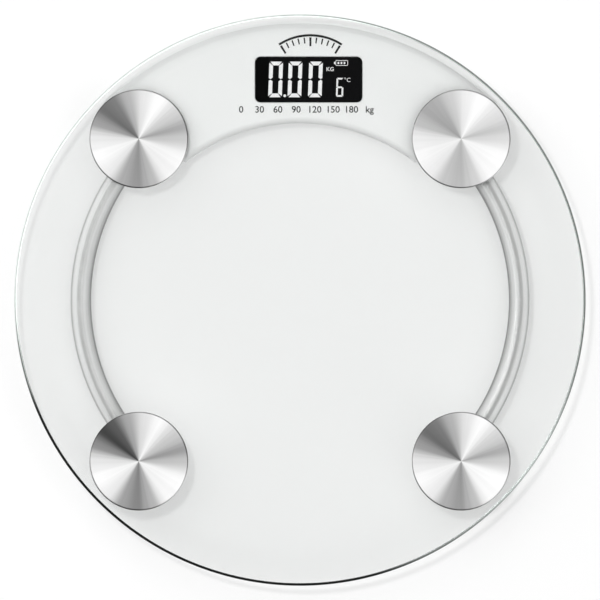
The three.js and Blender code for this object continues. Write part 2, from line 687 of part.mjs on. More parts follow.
function negativeContact() {
  const leafTop = contactUnderside + CONTACT_THICKNESS;
  const leaf = box(CONTACT_WIDTH, 2 * CONTACT_WIDTH, contactUnderside, leafTop);
  const tail = box(CONTACT_WIDTH, CONTACT_THICKNESS, contactUnderside, wellTop + CONTACT_TAIL);
  return solid(leaf).add(solid(tail.translate(0, -CONTACT_WIDTH + CONTACT_THICKNESS / 2, 0)));
}

function positiveContact() {
  const clip = box(CONTACT_WIDTH, CONTACT_THICKNESS, coinUnderside, wellTop + CONTACT_TAIL);
  return clip.translate(0, clipRadius + CONTACT_THICKNESS / 2, 0);
}

const coinTop = coinUnderside + COIN_THICKNESS;
place("coin_cell", revolve([
  [0, coinUnderside],
  [COIN_DIAMETER / 2, coinUnderside],
  [COIN_DIAMETER / 2, coinTop - COIN_STEP[1]],
  [COIN_DIAMETER / 2 - COIN_STEP[0], coinTop],
  [0, coinTop],
], ROUND_FOOT), finishes.coin, compartment);
place("battery_contact_negative", negativeContact(), finishes.contact, compartment);
place("battery_contact_positive", positiveContact(), finishes.contact, compartment);
place("battery_door", batteryDoor(), finishes.whitePlastic, compartment);

// ---- Battery leads, from the contacts' tails to the board ----
function lead(name, from, boardAcross, material) {
  const height = wellTop + CONTACT_TAIL + FIT_GAP + LEAD_DIAMETER / 2;
  const start = new THREE.Vector3(from[0], from[1], height).applyMatrix4(compartment.matrix);
  const endX = display.x + BOARD_SIZE[0] / 2 + LEAD_DIAMETER;
  const end = new THREE.Vector3(endX, display.y + boardAcross, boardTop + LEAD_DIAMETER);
  const middle = start.clone().lerp(end, 0.5).setZ(height + LEAD_DIAMETER);
  const path = new THREE.CatmullRomCurve3([start, middle, end]);
  place(name, sweep(path, circle(LEAD_DIAMETER / 2), 6, CABLE_SIDES), material);
}
lead("battery_lead_negative", [-CONTACT_WIDTH / 2, -CONTACT_WIDTH], -1, finishes.blackLead);
lead("battery_lead_positive", [-CONTACT_WIDTH / 2, clipRadius], 6, finishes.redLead);

// ---- Display cover: the lower shell ----
function displayCover() {
  const rim = discProfile(housingRadius, FLOOR_CLEARANCE, coverTop, COVER_EDGE, 0);
  const hollowTop = coverTop + CUT_MARGIN;
  const hollow = discProfile(housingRadius - HOUSING_WALL, coverFloor, hollowTop, 0, 0);
  let cover = crescent(0, FLOOR_CLEARANCE, coverTop, rim);
  cover = cover.subtract(crescent(HOUSING_WALL, coverFloor, hollowTop, hollow));
  const lipOuter = HOUSING_WALL + FIT_GAP;
  const lipInner = lipOuter + COVER_LIP;
  const lipBottom = coverFloor - COVER_PLATE / 2;
  const lipTopFace = coverFloor + COVER_LIP_HEIGHT;
  const outside = discProfile(housingRadius - lipOuter, lipBottom, lipTopFace, 0, 0);
  const inside = discProfile(housingRadius - lipInner, coverFloor, lipTopFace + CUT_MARGIN, 0, 0);
  const lip = crescent(lipOuter, lipBottom, lipTopFace, outside);
  cover = cover.add(lip.subtract(crescent(lipInner, coverFloor, lipTopFace + CUT_MARGIN, inside)));
  const under = FLOOR_CLEARANCE - CUT_MARGIN;
  for (const [x, y] of housingScrews) {
    const pillar = cylinder(SCREW_BOSS_RADIUS + 1, FLOOR_CLEARANCE + 1, pillarTop, ROUND_SMALL);
    const hole = cylinder(SCREW_SHANK_RADIUS + FIT_GAP, under, pillarTop + CUT_MARGIN, ROUND_SMALL);
    const sink = cylinder(SCREW_HEAD_RADIUS + FIT_GAP, under, headSeat, ROUND_SMALL);
    cover = cover.add(solid(pillar.translate(x, y, 0)));
    cover = cover.subtract(solid(hole.translate(x, y, 0))).subtract(solid(sink.translate(x, y, 0)));
  }
  const [dishRadius, dishDepth] = BUTTON_DISH;
  const dish = cylinder(dishRadius, under, FLOOR_CLEARANCE + dishDepth, ROUND_FOOT);
  const hole = cylinder(BUTTON_DIAMETER / 2 + FIT_GAP, under, coverFloor + CUT_MARGIN, ROUND_SMALL);
  cover = cover.subtract(solid(dish.translate(button.x, button.y, 0)));
  cover = cover.subtract(solid(hole.translate(button.x, button.y, 0)));
  const wallsTop = wellTop + CUT_MARGIN;
  const room = discProfile(housingRadius - lipOuter, lipBottom, wallsTop, 0, 0);
  const walls = compartmentWalls().transform(compartment.matrix.elements);
  cover = cover.add(walls.intersect(crescent(lipOuter, lipBottom, wallsTop, room)));
  return cover.subtract(compartmentHollow().transform(compartment.matrix.elements));
}
place("display_cover", displayCover(), finishes.whitePlastic);

// ---- Screws ----
function screw(headBottom, headHeight, headRadius, shankRadius, tip) {
  const crown = headHeight / 2;
  return revolve([
    [0, headBottom],
    [headRadius - crown, headBottom],
    [headRadius, headBottom + crown],
    [headRadius, headBottom + headHeight],
    [shankRadius, headBottom + headHeight],
    [shankRadius, tip - shankRadius],
    [0, tip],
  ], ROUND_SMALL);
}
housingScrews.forEach(([x, y], i) => {
  const shape = screw(headFace, SCREW_HEAD_HEIGHT, SCREW_HEAD_RADIUS, SCREW_SHANK_RADIUS, screwTip);
  place(`cover_screw_${i + 1}`, shape.translate(x, y, 0), finishes.screw);
});
boardScrews.forEach(([x, y], i) => {
  const headHeight = SCREW_HEAD_HEIGHT / 2;
  const shape = screw(boardScrewHead, headHeight, BOARD_BOSS_RADIUS, BOARD_SCREW_RADIUS, boardScrewTip);
  place(`board_screw_${i + 1}`, shape.translate(x, y, 0), finishes.screw);
});

// ---- Display stack, from the window down to the board ----
function slab([width, depth, thickness], top) {
  return atWindow(box(width, depth, top - thickness, top));
}
const lens = roundedRectangle(WINDOW_SIZE[0], WINDOW_SIZE[1], WINDOW_CORNER);
place("display_window", atWindow(prism(lens, windowUnderside, housingTop, 4)), finishes.window);
place("lcd_panel", slab(LCD_SIZE, lcdTop), finishes.lcd);
place("backlight", slab(BACKLIGHT_SIZE, lcdUnderside - FIT_GAP), finishes.lightGuide);
for (const [name, shift] of [["rear", -CONNECTOR_OFFSET], ["front", CONNECTOR_OFFSET]]) {
  const strip = slab([BACKLIGHT_SIZE[0], CONNECTOR_WIDTH, BACKLIGHT_SIZE[2]], lcdUnderside - FIT_GAP);
  place(`lcd_connector_${name}`, strip.translate(0, shift, 0), finishes.connector);
}

function mainBoard() {
  let board = solid(slab(BOARD_SIZE, boardTop));
  for (const [x, y] of boardScrews) {
    const radius = BOARD_SCREW_RADIUS + FIT_GAP;
    const hole = cylinder(radius, boardUnderside - CUT_MARGIN, boardTop + CUT_MARGIN, ROUND_SMALL);
    board = board.subtract(solid(hole.translate(x, y, 0)));
  }
  return board;
}
place("main_board", mainBoard(), finishes.board);

const blobTop = boardUnderside - FIT_GAP;
place("controller_blob", atWindow(revolve([
  ...quarter(0, blobTop, BLOB_RADIUS, BLOB_HEIGHT, -1),
  [0, blobTop],
], ROUND_SMALL)), finishes.epoxy);

// ---- Unit switch and the button that presses it ----
function unitSwitch() {
  const [width, depth, height] = SWITCH_SIZE;
  const body = box(width, depth, switchUnderside, switchUnderside + height);
  const plunger = cylinder(SWITCH_PLUNGER[0], plungerTip, switchUnderside + height / 2, ROUND_SMALL);
  return surface(solid(body).add(solid(plunger))).translate(button.x, button.y, 0);
}
place("unit_switch", unitSwitch(), finishes.epoxy);

const buttonFlangeRadius = BUTTON_DIAMETER / 2 + BUTTON_FLANGE;
const buttonFlangeTop = coverFloor + FIT_GAP + BUTTON_FLANGE_THICKNESS;
const buttonTop = plungerTip - BUTTON_TRAVEL - TRAVEL_MARGIN;
place("unit_button", revolve([
  [0, FLOOR_CLEARANCE + BUTTON_RECESS],
  [BUTTON_DIAMETER / 2, FLOOR_CLEARANCE + BUTTON_RECESS],
  [BUTTON_DIAMETER / 2, coverFloor + FIT_GAP],
  [buttonFlangeRadius, coverFloor + FIT_GAP],
  [buttonFlangeRadius, buttonFlangeTop],
  [SWITCH_PLUNGER[0], buttonFlangeTop],
  [SWITCH_PLUNGER[0], buttonTop],
  [0, buttonTop],
], ROUND_SMALL).translate(button.x, button.y, 0), finishes.button);

export default scale;
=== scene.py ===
# %% [markdown]
# # A round glass bathroom scale
# This lesson builds the looks of a bathroom scale around its finished CAD frame: a clear glass
# platform, four spun steel caps, two silver tubes, a white crescent housing with a display,
# and the feet underneath. The frame holds every size and every joint, so each piece here
# takes its place from it. Lengths are metres, and MM turns a millimetre into metres.

import json
import math

import bpy
from mathutils import Matrix, Vector


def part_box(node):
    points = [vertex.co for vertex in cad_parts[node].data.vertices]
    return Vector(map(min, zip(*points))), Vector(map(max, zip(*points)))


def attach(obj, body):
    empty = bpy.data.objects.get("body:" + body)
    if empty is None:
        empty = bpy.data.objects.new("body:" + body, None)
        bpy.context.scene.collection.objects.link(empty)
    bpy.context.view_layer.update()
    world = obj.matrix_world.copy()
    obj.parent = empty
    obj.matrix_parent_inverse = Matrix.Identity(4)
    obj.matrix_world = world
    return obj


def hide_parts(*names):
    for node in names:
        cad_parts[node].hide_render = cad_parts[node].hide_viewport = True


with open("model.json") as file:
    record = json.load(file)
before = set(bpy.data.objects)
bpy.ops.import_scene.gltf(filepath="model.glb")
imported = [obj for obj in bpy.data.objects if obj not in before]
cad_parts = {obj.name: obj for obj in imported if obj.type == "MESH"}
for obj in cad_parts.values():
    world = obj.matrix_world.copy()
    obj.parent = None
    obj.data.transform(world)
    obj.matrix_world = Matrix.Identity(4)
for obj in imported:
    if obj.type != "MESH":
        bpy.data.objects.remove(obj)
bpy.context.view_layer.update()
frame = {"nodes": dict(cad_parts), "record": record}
MM = 0.001

# %% [markdown]
# ## Sizes that several pieces share
# A designer measures a neighbour before cutting the next part. Reading the sizes from
# there keeps the looks and the mechanism in step when the CAD changes.

# %% Shared sizes
glass_low, glass_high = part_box("glass_platform")
GLASS_RADIUS = glass_high.x
GLASS_TOP = glass_high.z
cap_low, cap_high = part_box("cap_front_right")
CAP_RADIUS = (cap_high.x - cap_low.x) / 2
FOOT_OFFSET = (cap_high.x + cap_low.x) / 2
FOOT_CIRCLE = FOOT_OFFSET * math.sqrt(2)
FEET = {
    "front_left": (-1, 1),
    "front_right": (1, 1),
    "rear_left": (-1, -1),
    "rear_right": (1, -1),
}
GAP = 0.3 * MM  # what touching pieces keep between them
print(f"glass {2 * GLASS_RADIUS / MM:.0f} mm, caps {2 * CAP_RADIUS / MM:.0f} mm, "
      f"feet {FOOT_OFFSET / MM:.1f} mm from each middle line")

# %% [markdown]
# ## The camera
# The scale is seen from straight above with a long lens, so the circle stays a circle and
# nothing leans. A lens of this length sits three metres up. A wider lens close by would show
# the sides of the caps, and an orthographic camera would flatten the reflections.

# %% Camera
CAMERA_HEIGHT = 3.0
PICTURE_WIDTH = 0.3462  # what the picture spans at the top of the glass
camera_data = bpy.data.cameras.new("camera")
camera_data.sensor_width = 36
camera_data.lens = camera_data.sensor_width * CAMERA_HEIGHT / PICTURE_WIDTH
camera_data.clip_end = 20
camera = bpy.data.objects.new("camera", camera_data)
camera.location = (0, 0, GLASS_TOP + CAMERA_HEIGHT)
bpy.context.scene.collection.objects.link(camera)
bpy.context.scene.camera = camera
bpy.context.scene.view_settings.view_transform = "Standard"
print(f"lens {camera_data.lens:.0f} mm")

# %% [markdown]
# ## Small helpers for modelling
# Every piece is modelled the way a hand would: add a primitive, go into edit mode, push and
# pull it. Operators act on whatever is selected, so each step starts with nothing selected.
# When a piece is finished its place is applied to its mesh, and its object sits at the origin.

# %% Helpers: choosing and naming
def deselect():
    if bpy.context.mode != "OBJECT":
        bpy.ops.object.mode_set(mode="OBJECT")
    bpy.ops.object.select_all(action="DESELECT")


def choose(piece):
    deselect()
    piece.select_set(True)
    bpy.context.view_layer.objects.active = piece
    return piece


def adopt(name):
    """Names the new primitive and applies its place, so that its origin is the scale's."""
    piece = bpy.context.active_object
    piece.name = name
    piece.data.name = name
    bpy.ops.object.transform_apply(location=True, rotation=True, scale=True)
    return piece


def edit(piece, kind="VERT"):
    choose(piece)
    bpy.ops.object.mode_set(mode="EDIT")
    bpy.ops.mesh.select_mode(type=kind)
    bpy.ops.mesh.select_all(action="DESELECT")


def outward(piece):
    """Merges doubles, turns the faces outward and leaves edit mode."""
    edit(piece)
    bpy.ops.mesh.select_all(action="SELECT")
    bpy.ops.mesh.remove_doubles(threshold=0.002 * MM)
    bpy.ops.mesh.normals_make_consistent(inside=False)
    bpy.ops.object.mode_set(mode="OBJECT")
    return piece


def moved(piece, matrix):
    piece.data.transform(matrix)
    return piece


def copied(piece, name, matrix=Matrix.Identity(4)):
    """A copy with its own mesh, moved by the matrix."""
    twin = piece.copy()
    twin.data = piece.data.copy()
    twin.name = name
    twin.data.name = name
    bpy.context.scene.collection.objects.link(twin)
    return moved(twin, matrix)


def discard(*pieces):
    for piece in pieces:
        bpy.data.objects.remove(piece, do_unlink=True)

# %% [markdown]
# ## Modifiers, applied at once
# A boolean cuts a hole as a drill or a mould core would, and a bevel takes the sharpness off
# an edge, which is what lets it catch the light. Both could stay live, but an applied modifier
# leaves a plain mesh that exports and is measured exactly as it is seen.

# %% Helpers: cutting, joining and softening
def applied(piece, kind, **settings):
    choose(piece)
    modifier = piece.modifiers.new(kind.lower(), kind)
    for key, value in settings.items():
        setattr(modifier, key, value)
    bpy.ops.object.modifier_apply(modifier=modifier.name)
    return piece


def smooth(piece, degrees=35):
    """Smooth shading up to an angle, with flat faces kept truly flat beside a round edge."""
    choose(piece)
    bpy.ops.object.shade_smooth_by_angle(angle=math.radians(degrees))
    return applied(piece, "WEIGHTED_NORMAL", keep_sharp=True, weight=100)


def soften(piece, width, segments=2, degrees=30):
    return applied(piece, "BEVEL", width=width, segments=segments, limit_method="ANGLE",
                   angle_limit=math.radians(degrees), use_clamp_overlap=True)


def cut(piece, *tools, operation="DIFFERENCE"):
    """Cuts each tool out of the piece, or adds or keeps it, and throws the tool away."""
    for tool in tools:
        applied(piece, "BOOLEAN", object=tool, operation=operation, solver="MANIFOLD")
        discard(tool)
    return piece


def joined(name, pieces):
    """One piece from several that don't touch."""
    deselect()
    for piece in pieces:
        piece.select_set(True)
    bpy.context.view_layer.objects.active = pieces[0]
    bpy.ops.object.join()
    pieces[0].name = name
    pieces[0].data.name = name
    return pieces[0]

# %% [markdown]
# ## Round, flat and bent stock
# Most of a scale's parts are turned or moulded round: the glass, caps, feet and screws. One
# point is extruded along the profile and the line is spun about the axis, which is how a
# lathe works. Flat pieces are an outline that is filled and pulled up, and a bent tube is a
# round section that is spun part of the way round. Plain cylinders would do for a disc, but
# not for a domed cap or a foot with a lip.

# %% Helpers: outlines
def arc(radius, height, across, rise, first, last, steps=4):
    """Profile points on an ellipse, from one angle to another in degrees."""
    points = []
    for step in range(steps + 1):
        angle = math.radians(first + (last - first) * step / steps)
        points.append((radius + across * math.cos(angle), height + rise * math.sin(angle)))
    return points


def rounded(width, depth, corner, centre=(0, 0), steps=6):
    """A rectangle's outline with round corners."""
    points = []
    for quarter, (side, end) in enumerate(((1, 1), (-1, 1), (-1, -1), (1, -1))):
        x = centre[0] + side * (width / 2 - corner)
        y = centre[1] + end * (depth / 2 - corner)
        points += arc(x, y, corner, corner, 90 * quarter, 90 * quarter + 90, steps)
    return points

# %% Helpers: turned and flat stock
def traced(name, points):
    """One vertex, extruded from point to point."""
    deselect()
    bpy.ops.mesh.primitive_plane_add(size=MM, location=points[0])
    piece = adopt(name)
    edit(piece)
    bpy.ops.mesh.select_all(action="SELECT")
    bpy.ops.mesh.merge(type="CENTER")
    for start, end in zip(points, points[1:]):
        step = Vector(end) - Vector(start)
        bpy.ops.mesh.extrude_vertices_move(TRANSFORM_OT_translate={"value": step})
    bpy.ops.mesh.select_all(action="SELECT")
    return piece


def turned(name, profile, steps=96, centre=(0, 0)):
    """Spins a profile of (radius, height) points about a vertical axis."""
    x, y = centre
    piece = traced(name, [(x + radius, y, height) for radius, height in profile])
    bpy.ops.mesh.spin(steps=steps, angle=math.tau, center=(x, y, 0), axis=(0, 0, 1))
    return outward(piece)


def slab(name, outline, low, high):
    """Fills an outline of (x, y) points and pulls it up."""
    piece = traced(name, [(x, y, low) for x, y in outline])
    bpy.ops.mesh.edge_face_add()
    bpy.ops.mesh.extrude_region_move(TRANSFORM_OT_translate={"value": (0, 0, high - low)})
    return outward(piece)

# %% Helpers: blocks, rods and tubes
def block(name, low, high):
    """A box between two corners."""
    deselect()
    size = [high[i] - low[i] for i in range(3)]
    middle = [(high[i] + low[i]) / 2 for i in range(3)]
    bpy.ops.mesh.primitive_cube_add(size=1, location=middle, scale=size)
    return adopt(name)


def rod(name, radius, low, high, centre=(0, 0), steps=48):
    """A plain upright cylinder, for holes and pillars."""
    profile = [(0, low), (radius, low), (radius, high), (0, high)]
    return turned(name, profile, steps, centre)


def bent(name, section, path, height, first, last, wall=0.0, steps=96, sides=32):
    """A round section spun about the scale's middle, from one angle to another in degrees."""
    deselect()
    start = math.radians(first)
    place = (path * math.cos(start), path * math.sin(start), height)
    bpy.ops.mesh.primitive_circle_add(vertices=sides, radius=section, fill_type="NGON",
                                      location=place, rotation=(math.pi / 2, 0, start))
    piece = adopt(name)
    edit(piece, "FACE")
    bpy.ops.mesh.select_all(action="SELECT")
    if wall:
        bpy.ops.mesh.inset(thickness=wall)
        bpy.ops.mesh.delete(type="FACE")
        bpy.ops.mesh.select_all(action="SELECT")
    bpy.ops.mesh.spin(steps=steps, angle=-math.radians(last - first), center=(0, 0, 0),
                      axis=(0, 0, 1))
    return outward(piece)


def report(piece):
    size = [v / MM for v in piece.dimensions]
    print(f"{piece.name}: {size[0]:.1f} x {size[1]:.1f} x {size[2]:.1f} mm, "
          f"{len(piece.data.polygons)} faces")
    return piece

# %% [markdown]
# ## Shader maths as expressions
# A procedural finish is arithmetic on positions. Reading holds one output of a node, and its
# operators add Math nodes, so a sum reads like a sum. Recipe adds any other node from
# its type, settings and inputs, and Finish is the recipe of one material.

# %% Helpers: readings
class Reading:
    """A number that varies over the surface, with arithmetic."""

    def __init__(self, recipe, socket):
        self.recipe = recipe
        self.socket = socket

    def maths(self, operation, *others):
        node = self.recipe.node("Math", {"operation": operation})
        for socket, value in zip(node.inputs, (self, *others)):
            self.recipe.feed(socket, value)
        return Reading(self.recipe, node.outputs[0])

    def __add__(self, other):
        return self.maths("ADD", other)

    __radd__ = __add__

    def __mul__(self, other):
        return self.maths("MULTIPLY", other)

    __rmul__ = __mul__

    def __sub__(self, other):
        return self.maths("SUBTRACT", other)

    def __rsub__(self, other):
        return (self * -1.0) + other

    def __truediv__(self, other):
        return self.maths("DIVIDE", other)

    def __pow__(self, other):
        return self.maths("POWER", other)

    def between(self, low, high):
        """0 below low, 1 above high, and a soft step from one to the other."""
        settings = {"interpolation_type": "SMOOTHSTEP"}
        inputs = {"Value": self, "From Min": low, "From Max": high}
        return Reading(self.recipe, self.recipe.node("MapRange", settings, inputs).outputs[0])

# %% Helpers: recipes
class Recipe:
    """A tree of shader nodes."""

    def __init__(self, tree):
        self.tree = tree

    def feed(self, socket, value):
        if isinstance(value, Reading):
            value = value.socket
        if isinstance(value, bpy.types.NodeSocket):
            self.tree.links.new(value, socket)
        else:
            socket.default_value = value

    def node(self, kind, settings=None, inputs=None):
        made = self.tree.nodes.new("ShaderNode" + kind)
        for key, value in (settings or {}).items():
            setattr(made, key, value)
        for key, value in (inputs or {}).items():
            self.feed(made.inputs[key], value)
        return made

    def axes(self, vector):
        parts = self.node("SeparateXYZ", inputs={"Vector": vector})
        return [Reading(self, parts.outputs[i]) for i in range(3)]

    def vector(self, x, y, z):
        return self.node("CombineXYZ", inputs={"X": x, "Y": y, "Z": z}).outputs[0]

    def ramp(self, value, *stops, easing="LINEAR"):
        """A colour ramp. Each stop is (position, grey level or colour)."""
        node = self.node("ValToRGB")
        node.color_ramp.interpolation = easing
        marks = node.color_ramp.elements
        while len(marks) < len(stops):
            marks.new(0.5)
        for mark, (position, tone) in zip(marks, stops):
            mark.position = position
            colour = (tone, tone, tone) if isinstance(tone, (int, float)) else tone
            mark.color = (*colour, 1)
        self.feed(node.inputs["Fac"], value)
        return node.outputs["Color"]

    def blend(self, share, first, second, how="MIX"):
        """Two colours mixed by a share, or multiplied."""
        node = self.node("Mix", {"data_type": "RGBA", "blend_type": how})
        colours = [socket for socket in node.inputs if socket.type == "RGBA"]
        self.feed(next(socket for socket in node.inputs if socket.type == "VALUE"), share)
        for socket, colour in zip(colours, (first, second)):
            self.feed(socket, colour if isinstance(colour, bpy.types.NodeSocket) else (*colour, 1))
        return next(socket for socket in node.outputs if socket.type == "RGBA")

# %% Helpers: finishes
class Finish(Recipe):
    """One material. Its shader's plain numbers are set by name when it is made."""

    def __init__(self, name, **settings):
        self.material = bpy.data.materials.new(name)
        self.material.use_nodes = True
        super().__init__(self.material.node_tree)
        self.shader = next(n for n in self.tree.nodes if n.type == "BSDF_PRINCIPLED")
        self.output = next(n for n in self.tree.nodes if n.type == "OUTPUT_MATERIAL")
        for key, value in settings.items():
            self.set(key.replace("_", " "), value)

    def set(self, name, value):
        sockets = {socket.name.lower(): socket for socket in self.shader.inputs}
        self.feed(sockets[name], value)

    def place(self):
        """Object coordinates: the place in metres, which is the scale's own frame."""
        return self.node("TexCoord").outputs["Object"]

    def noise(self, scale, detail=3.0, vector=None, roughness=0.5):
        inputs = {"Vector": vector or self.place(), "Scale": scale, "Detail": detail,
                  "Roughness": roughness}
        return Reading(self, self.node("TexNoise", inputs=inputs).outputs[0])

    def bump(self, height, distance, strength=1.0):
        inputs = {"Height": height, "Distance": distance, "Strength": strength}
        self.set("normal", self.node("Bump", inputs=inputs).outputs[0])

# %% Helpers: dressing a piece
def wear(piece, finish, body="platform", replaces=()):
    """Gives a finished piece its material and its body, and hides the CAD nodes it replaces."""
    piece.data.materials.clear()
    piece.data.materials.append(finish.material)
    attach(piece, body)
    if replaces:
        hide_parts(*replaces)
    return report(piece)

# %% [markdown]
# ## The floor and the light
# A plain white table top, lit by a pale room with a broad soft light overhead, is what a shop
# uses to show its goods. The room is brightest above and darker at eye level, dark cards
# stand low on two sides so that polished edges have something to show, and the camera hangs
# in a small dark patch, so that flat glass reflects no glare. One lamp, a little left of
# overhead, gives the shadows their side. The floor glows a little, as a light table does, which
# keeps the shadows pale. It is seen from above only: from below it lets the view through, so
# the underside can be looked at too.

# %% Room
OVERHEAD = 1.6  # brightness of the soft light overhead
EYE_LEVEL = 0.75
DARK_CARD = (math.radians(243), 0.97)  # direction, and how much light it takes away
GREY_CARD = (math.radians(35), 0.75)
CARD_EDGE = (0.3, 0.75)  # how squarely a direction faces a card, from its edge to its middle
SKY_RISE = (0.45, 0.9)  # height over which eye level turns to overhead
CAMERA_PATCH = (0.9955, 0.998)
PATCH_DEPTH = 0.98
BACKDROP = 0.95  # what the camera itself sees beyond the floor

world = bpy.data.worlds.new("studio")
bpy.context.scene.world = world
world.use_nodes = True
room = Recipe(world.node_tree)
across, along, up = room.axes(room.node("TexCoord").outputs["Generated"])
light = up.between(*SKY_RISE) * (OVERHEAD - EYE_LEVEL) + EYE_LEVEL
for card_turn, depth in (DARK_CARD, GREY_CARD):
    towards = across * math.cos(card_turn) + along * math.sin(card_turn)
    light = light * (1.0 - towards.between(*CARD_EDGE) * depth)
light = light * (1.0 - up.between(*CAMERA_PATCH) * PATCH_DEPTH)
seen = Reading(room, room.node("LightPath").outputs["Is Camera Ray"])
light = light * (1.0 - seen) + seen * BACKDROP
sky = world.node_tree.nodes["Background"]
sky.inputs["Color"].default_value = (1, 1, 1, 1)
room.feed(sky.inputs["Strength"], light)
print("room ready")

# %% Floor and lamp
FLOOR_GLOW = 0.34
FLOOR_SIZE = 12
FLOOR_DROP = 0.1 * MM
LAMP_SIZE = 0.16
LAMP_POWER = 8.3
LAMP_PLACE = (-0.31, 0.31, 1.95)

paper = Finish("floor_paper", base_color=(0.62, 0.62, 0.62, 1), roughness=0.9,
               emission_color=(1, 1, 1, 1), emission_strength=FLOOR_GLOW)
clear_below = paper.node("BsdfTransparent")
facing = paper.node("NewGeometry").outputs["Backfacing"]
floor_mix = paper.node("MixShader", inputs={0: facing, 1: paper.shader.outputs[0],
                                            2: clear_below.outputs[0]})
paper.feed(paper.output.inputs["Surface"], floor_mix.outputs[0])
deselect()
bpy.ops.mesh.primitive_plane_add(size=FLOOR_SIZE, location=(0, 0, -FLOOR_DROP))
floor = bpy.context.active_object
floor.name = "floor"
floor.data.materials.append(paper.material)

lamp_data = bpy.data.lights.new("key_lamp", "AREA")
lamp_data.size = LAMP_SIZE
lamp_data.energy = LAMP_POWER
lamp = bpy.data.objects.new("key_lamp", lamp_data)
lamp.location = LAMP_PLACE
lamp.visible_glossy = False  # the spun metal shows the room, not the lamp
lamp.rotation_euler = (-lamp.location).to_track_quat("-Z", "Y").to_euler()
bpy.context.scene.collection.objects.link(lamp)
print("floor and lamp ready")

# %% [markdown]
# ## Clear tempered glass
# The platform is one disc of clear glass, six millimetres thick, with both rims ground round
# so that no foot meets a sharp edge. It is turned from its profile. The rim's light and dark
# sides are a painted reflection: tones painted on by angle, not mirrored from the room. Real
# glass bends what is behind it, and lamps shine through it: the shader is glass for what is
# looked at, and plainly clear for light on its way to the floor, because a renderer can't
# follow that light well.

# %% Glass finishes
glass = Finish("clear_glass", base_color=(0.943, 0.95, 0.946, 1), transmission_weight=1.0,
               ior=1.5)
smears = glass.noise(9, detail=5)
glass.set("roughness", smears.between(0.55, 0.7) * 0.008)
light_path = glass.node("LightPath")
passing = Reading(glass, light_path.outputs["Is Shadow Ray"]).maths(
    "MAXIMUM", Reading(glass, light_path.outputs["Is Diffuse Ray"]))
clear_way = glass.node("BsdfTransparent", inputs={"Color": (0.97, 0.975, 0.972, 1)})
glass_mix = glass.node("MixShader", inputs={0: passing, 1: glass.shader.outputs[0],
                                            2: clear_way.outputs[0]})
glass.feed(glass.output.inputs["Surface"], glass_mix.outputs[0])

EDGE_REFLECTION_TONES = (  # degrees anticlockwise from +X, and how light the painted reflection makes the ground edge there
    (0, 0.4), (60, 0.5), (85, 0.9), (180, 0.9), (194, 0.4), (204, 0.03), (284, 0.03),
    (298, 0.25), (325, 0.55), (345, 0.35), (360, 0.4),
)
ground_edge = Finish("ground_edge", metallic=1.0)
grind = ground_edge.noise(260, detail=4)
x, y, _ = ground_edge.axes(ground_edge.place())
# Painted reflection: the rim's tone by angle stands in for the room mirrored in it.
edge_turn = (y.maths("ARCTAN2", x) * (1 / math.tau) + 1.0).maths("FRACT")
painted_edge_reflection = ground_edge.ramp(edge_turn, *[(angle / 360, tone) for angle, tone in EDGE_REFLECTION_TONES],
                             easing="EASE")
edge_grain = ground_edge.ramp(grind, (0.3, (0.80, 0.88, 0.84)), (0.7, (0.95, 1.0, 0.98)))
ground_edge.set("base color", ground_edge.blend(1.0, painted_edge_reflection, edge_grain, how="MULTIPLY"))
ground_edge.set("roughness", grind * 0.12 + 0.08)
ground_edge.bump(grind, 0.03 * MM, 0.5)
print("glass finishes ready")

# %% Glass platform
GLASS_ARRIS = 1.4 * MM

rim = GLASS_RADIUS - GLASS_ARRIS
disc = turned("tempered_glass", [
    (0, glass_low.z),
    *arc(rim, glass_low.z + GLASS_ARRIS, GLASS_ARRIS, GLASS_ARRIS, -90, 0, 6),
    *arc(rim, glass_high.z - GLASS_ARRIS, GLASS_ARRIS, GLASS_ARRIS, 0, 90, 6),
    (0, glass_high.z),
], steps=256)
smooth(disc, 50)
wear(disc, glass, replaces=["glass_platform"])
disc.data.materials.append(ground_edge.material)
for face in disc.data.polygons:
    if math.hypot(face.center.x, face.center.y) > rim:
        face.material_index = 1

# %% [markdown]
# ## Spun steel caps
# Each cap is pressed from thin stainless sheet and turned on a lathe, which leaves fine rings.
# Rings reflect light in sectors that fan out from the middle: bright where they face a lamp
# and dark between. The dome is nearly flat, so this fan of highlight and shade is a painted
# reflection in the metal's colour by angle, which doesn't follow the lights and is painted
# deeper on some caps than on others. The rings are a bump by radius.

# %% Spun steel
RING_PITCH = 0.5 * MM
BRIGHT = 0.78
PAINTED_FAN = (  # degrees anticlockwise from +X, and how bright the painted reflection makes the metal there
    (0, 0.62), (15, 0.42), (35, 0.66), (62, 1.0), (82, 0.8), (105, 0.46), (124, 0.2),
    (140, 0.16), (158, 0.34), (180, 0.8), (205, 0.98), (228, 0.84), (248, 0.42), (268, 0.32),
    (288, 0.5), (308, 0.92), (335, 1.0), (360, 0.62),
)
# How deep each cap's painted fan of highlight and shade is.
CAP_PAINTED_FAN_DEPTH = {"front_left": 1.0, "front_right": 0.72, "rear_left": 1.12, "rear_right": 1.0}


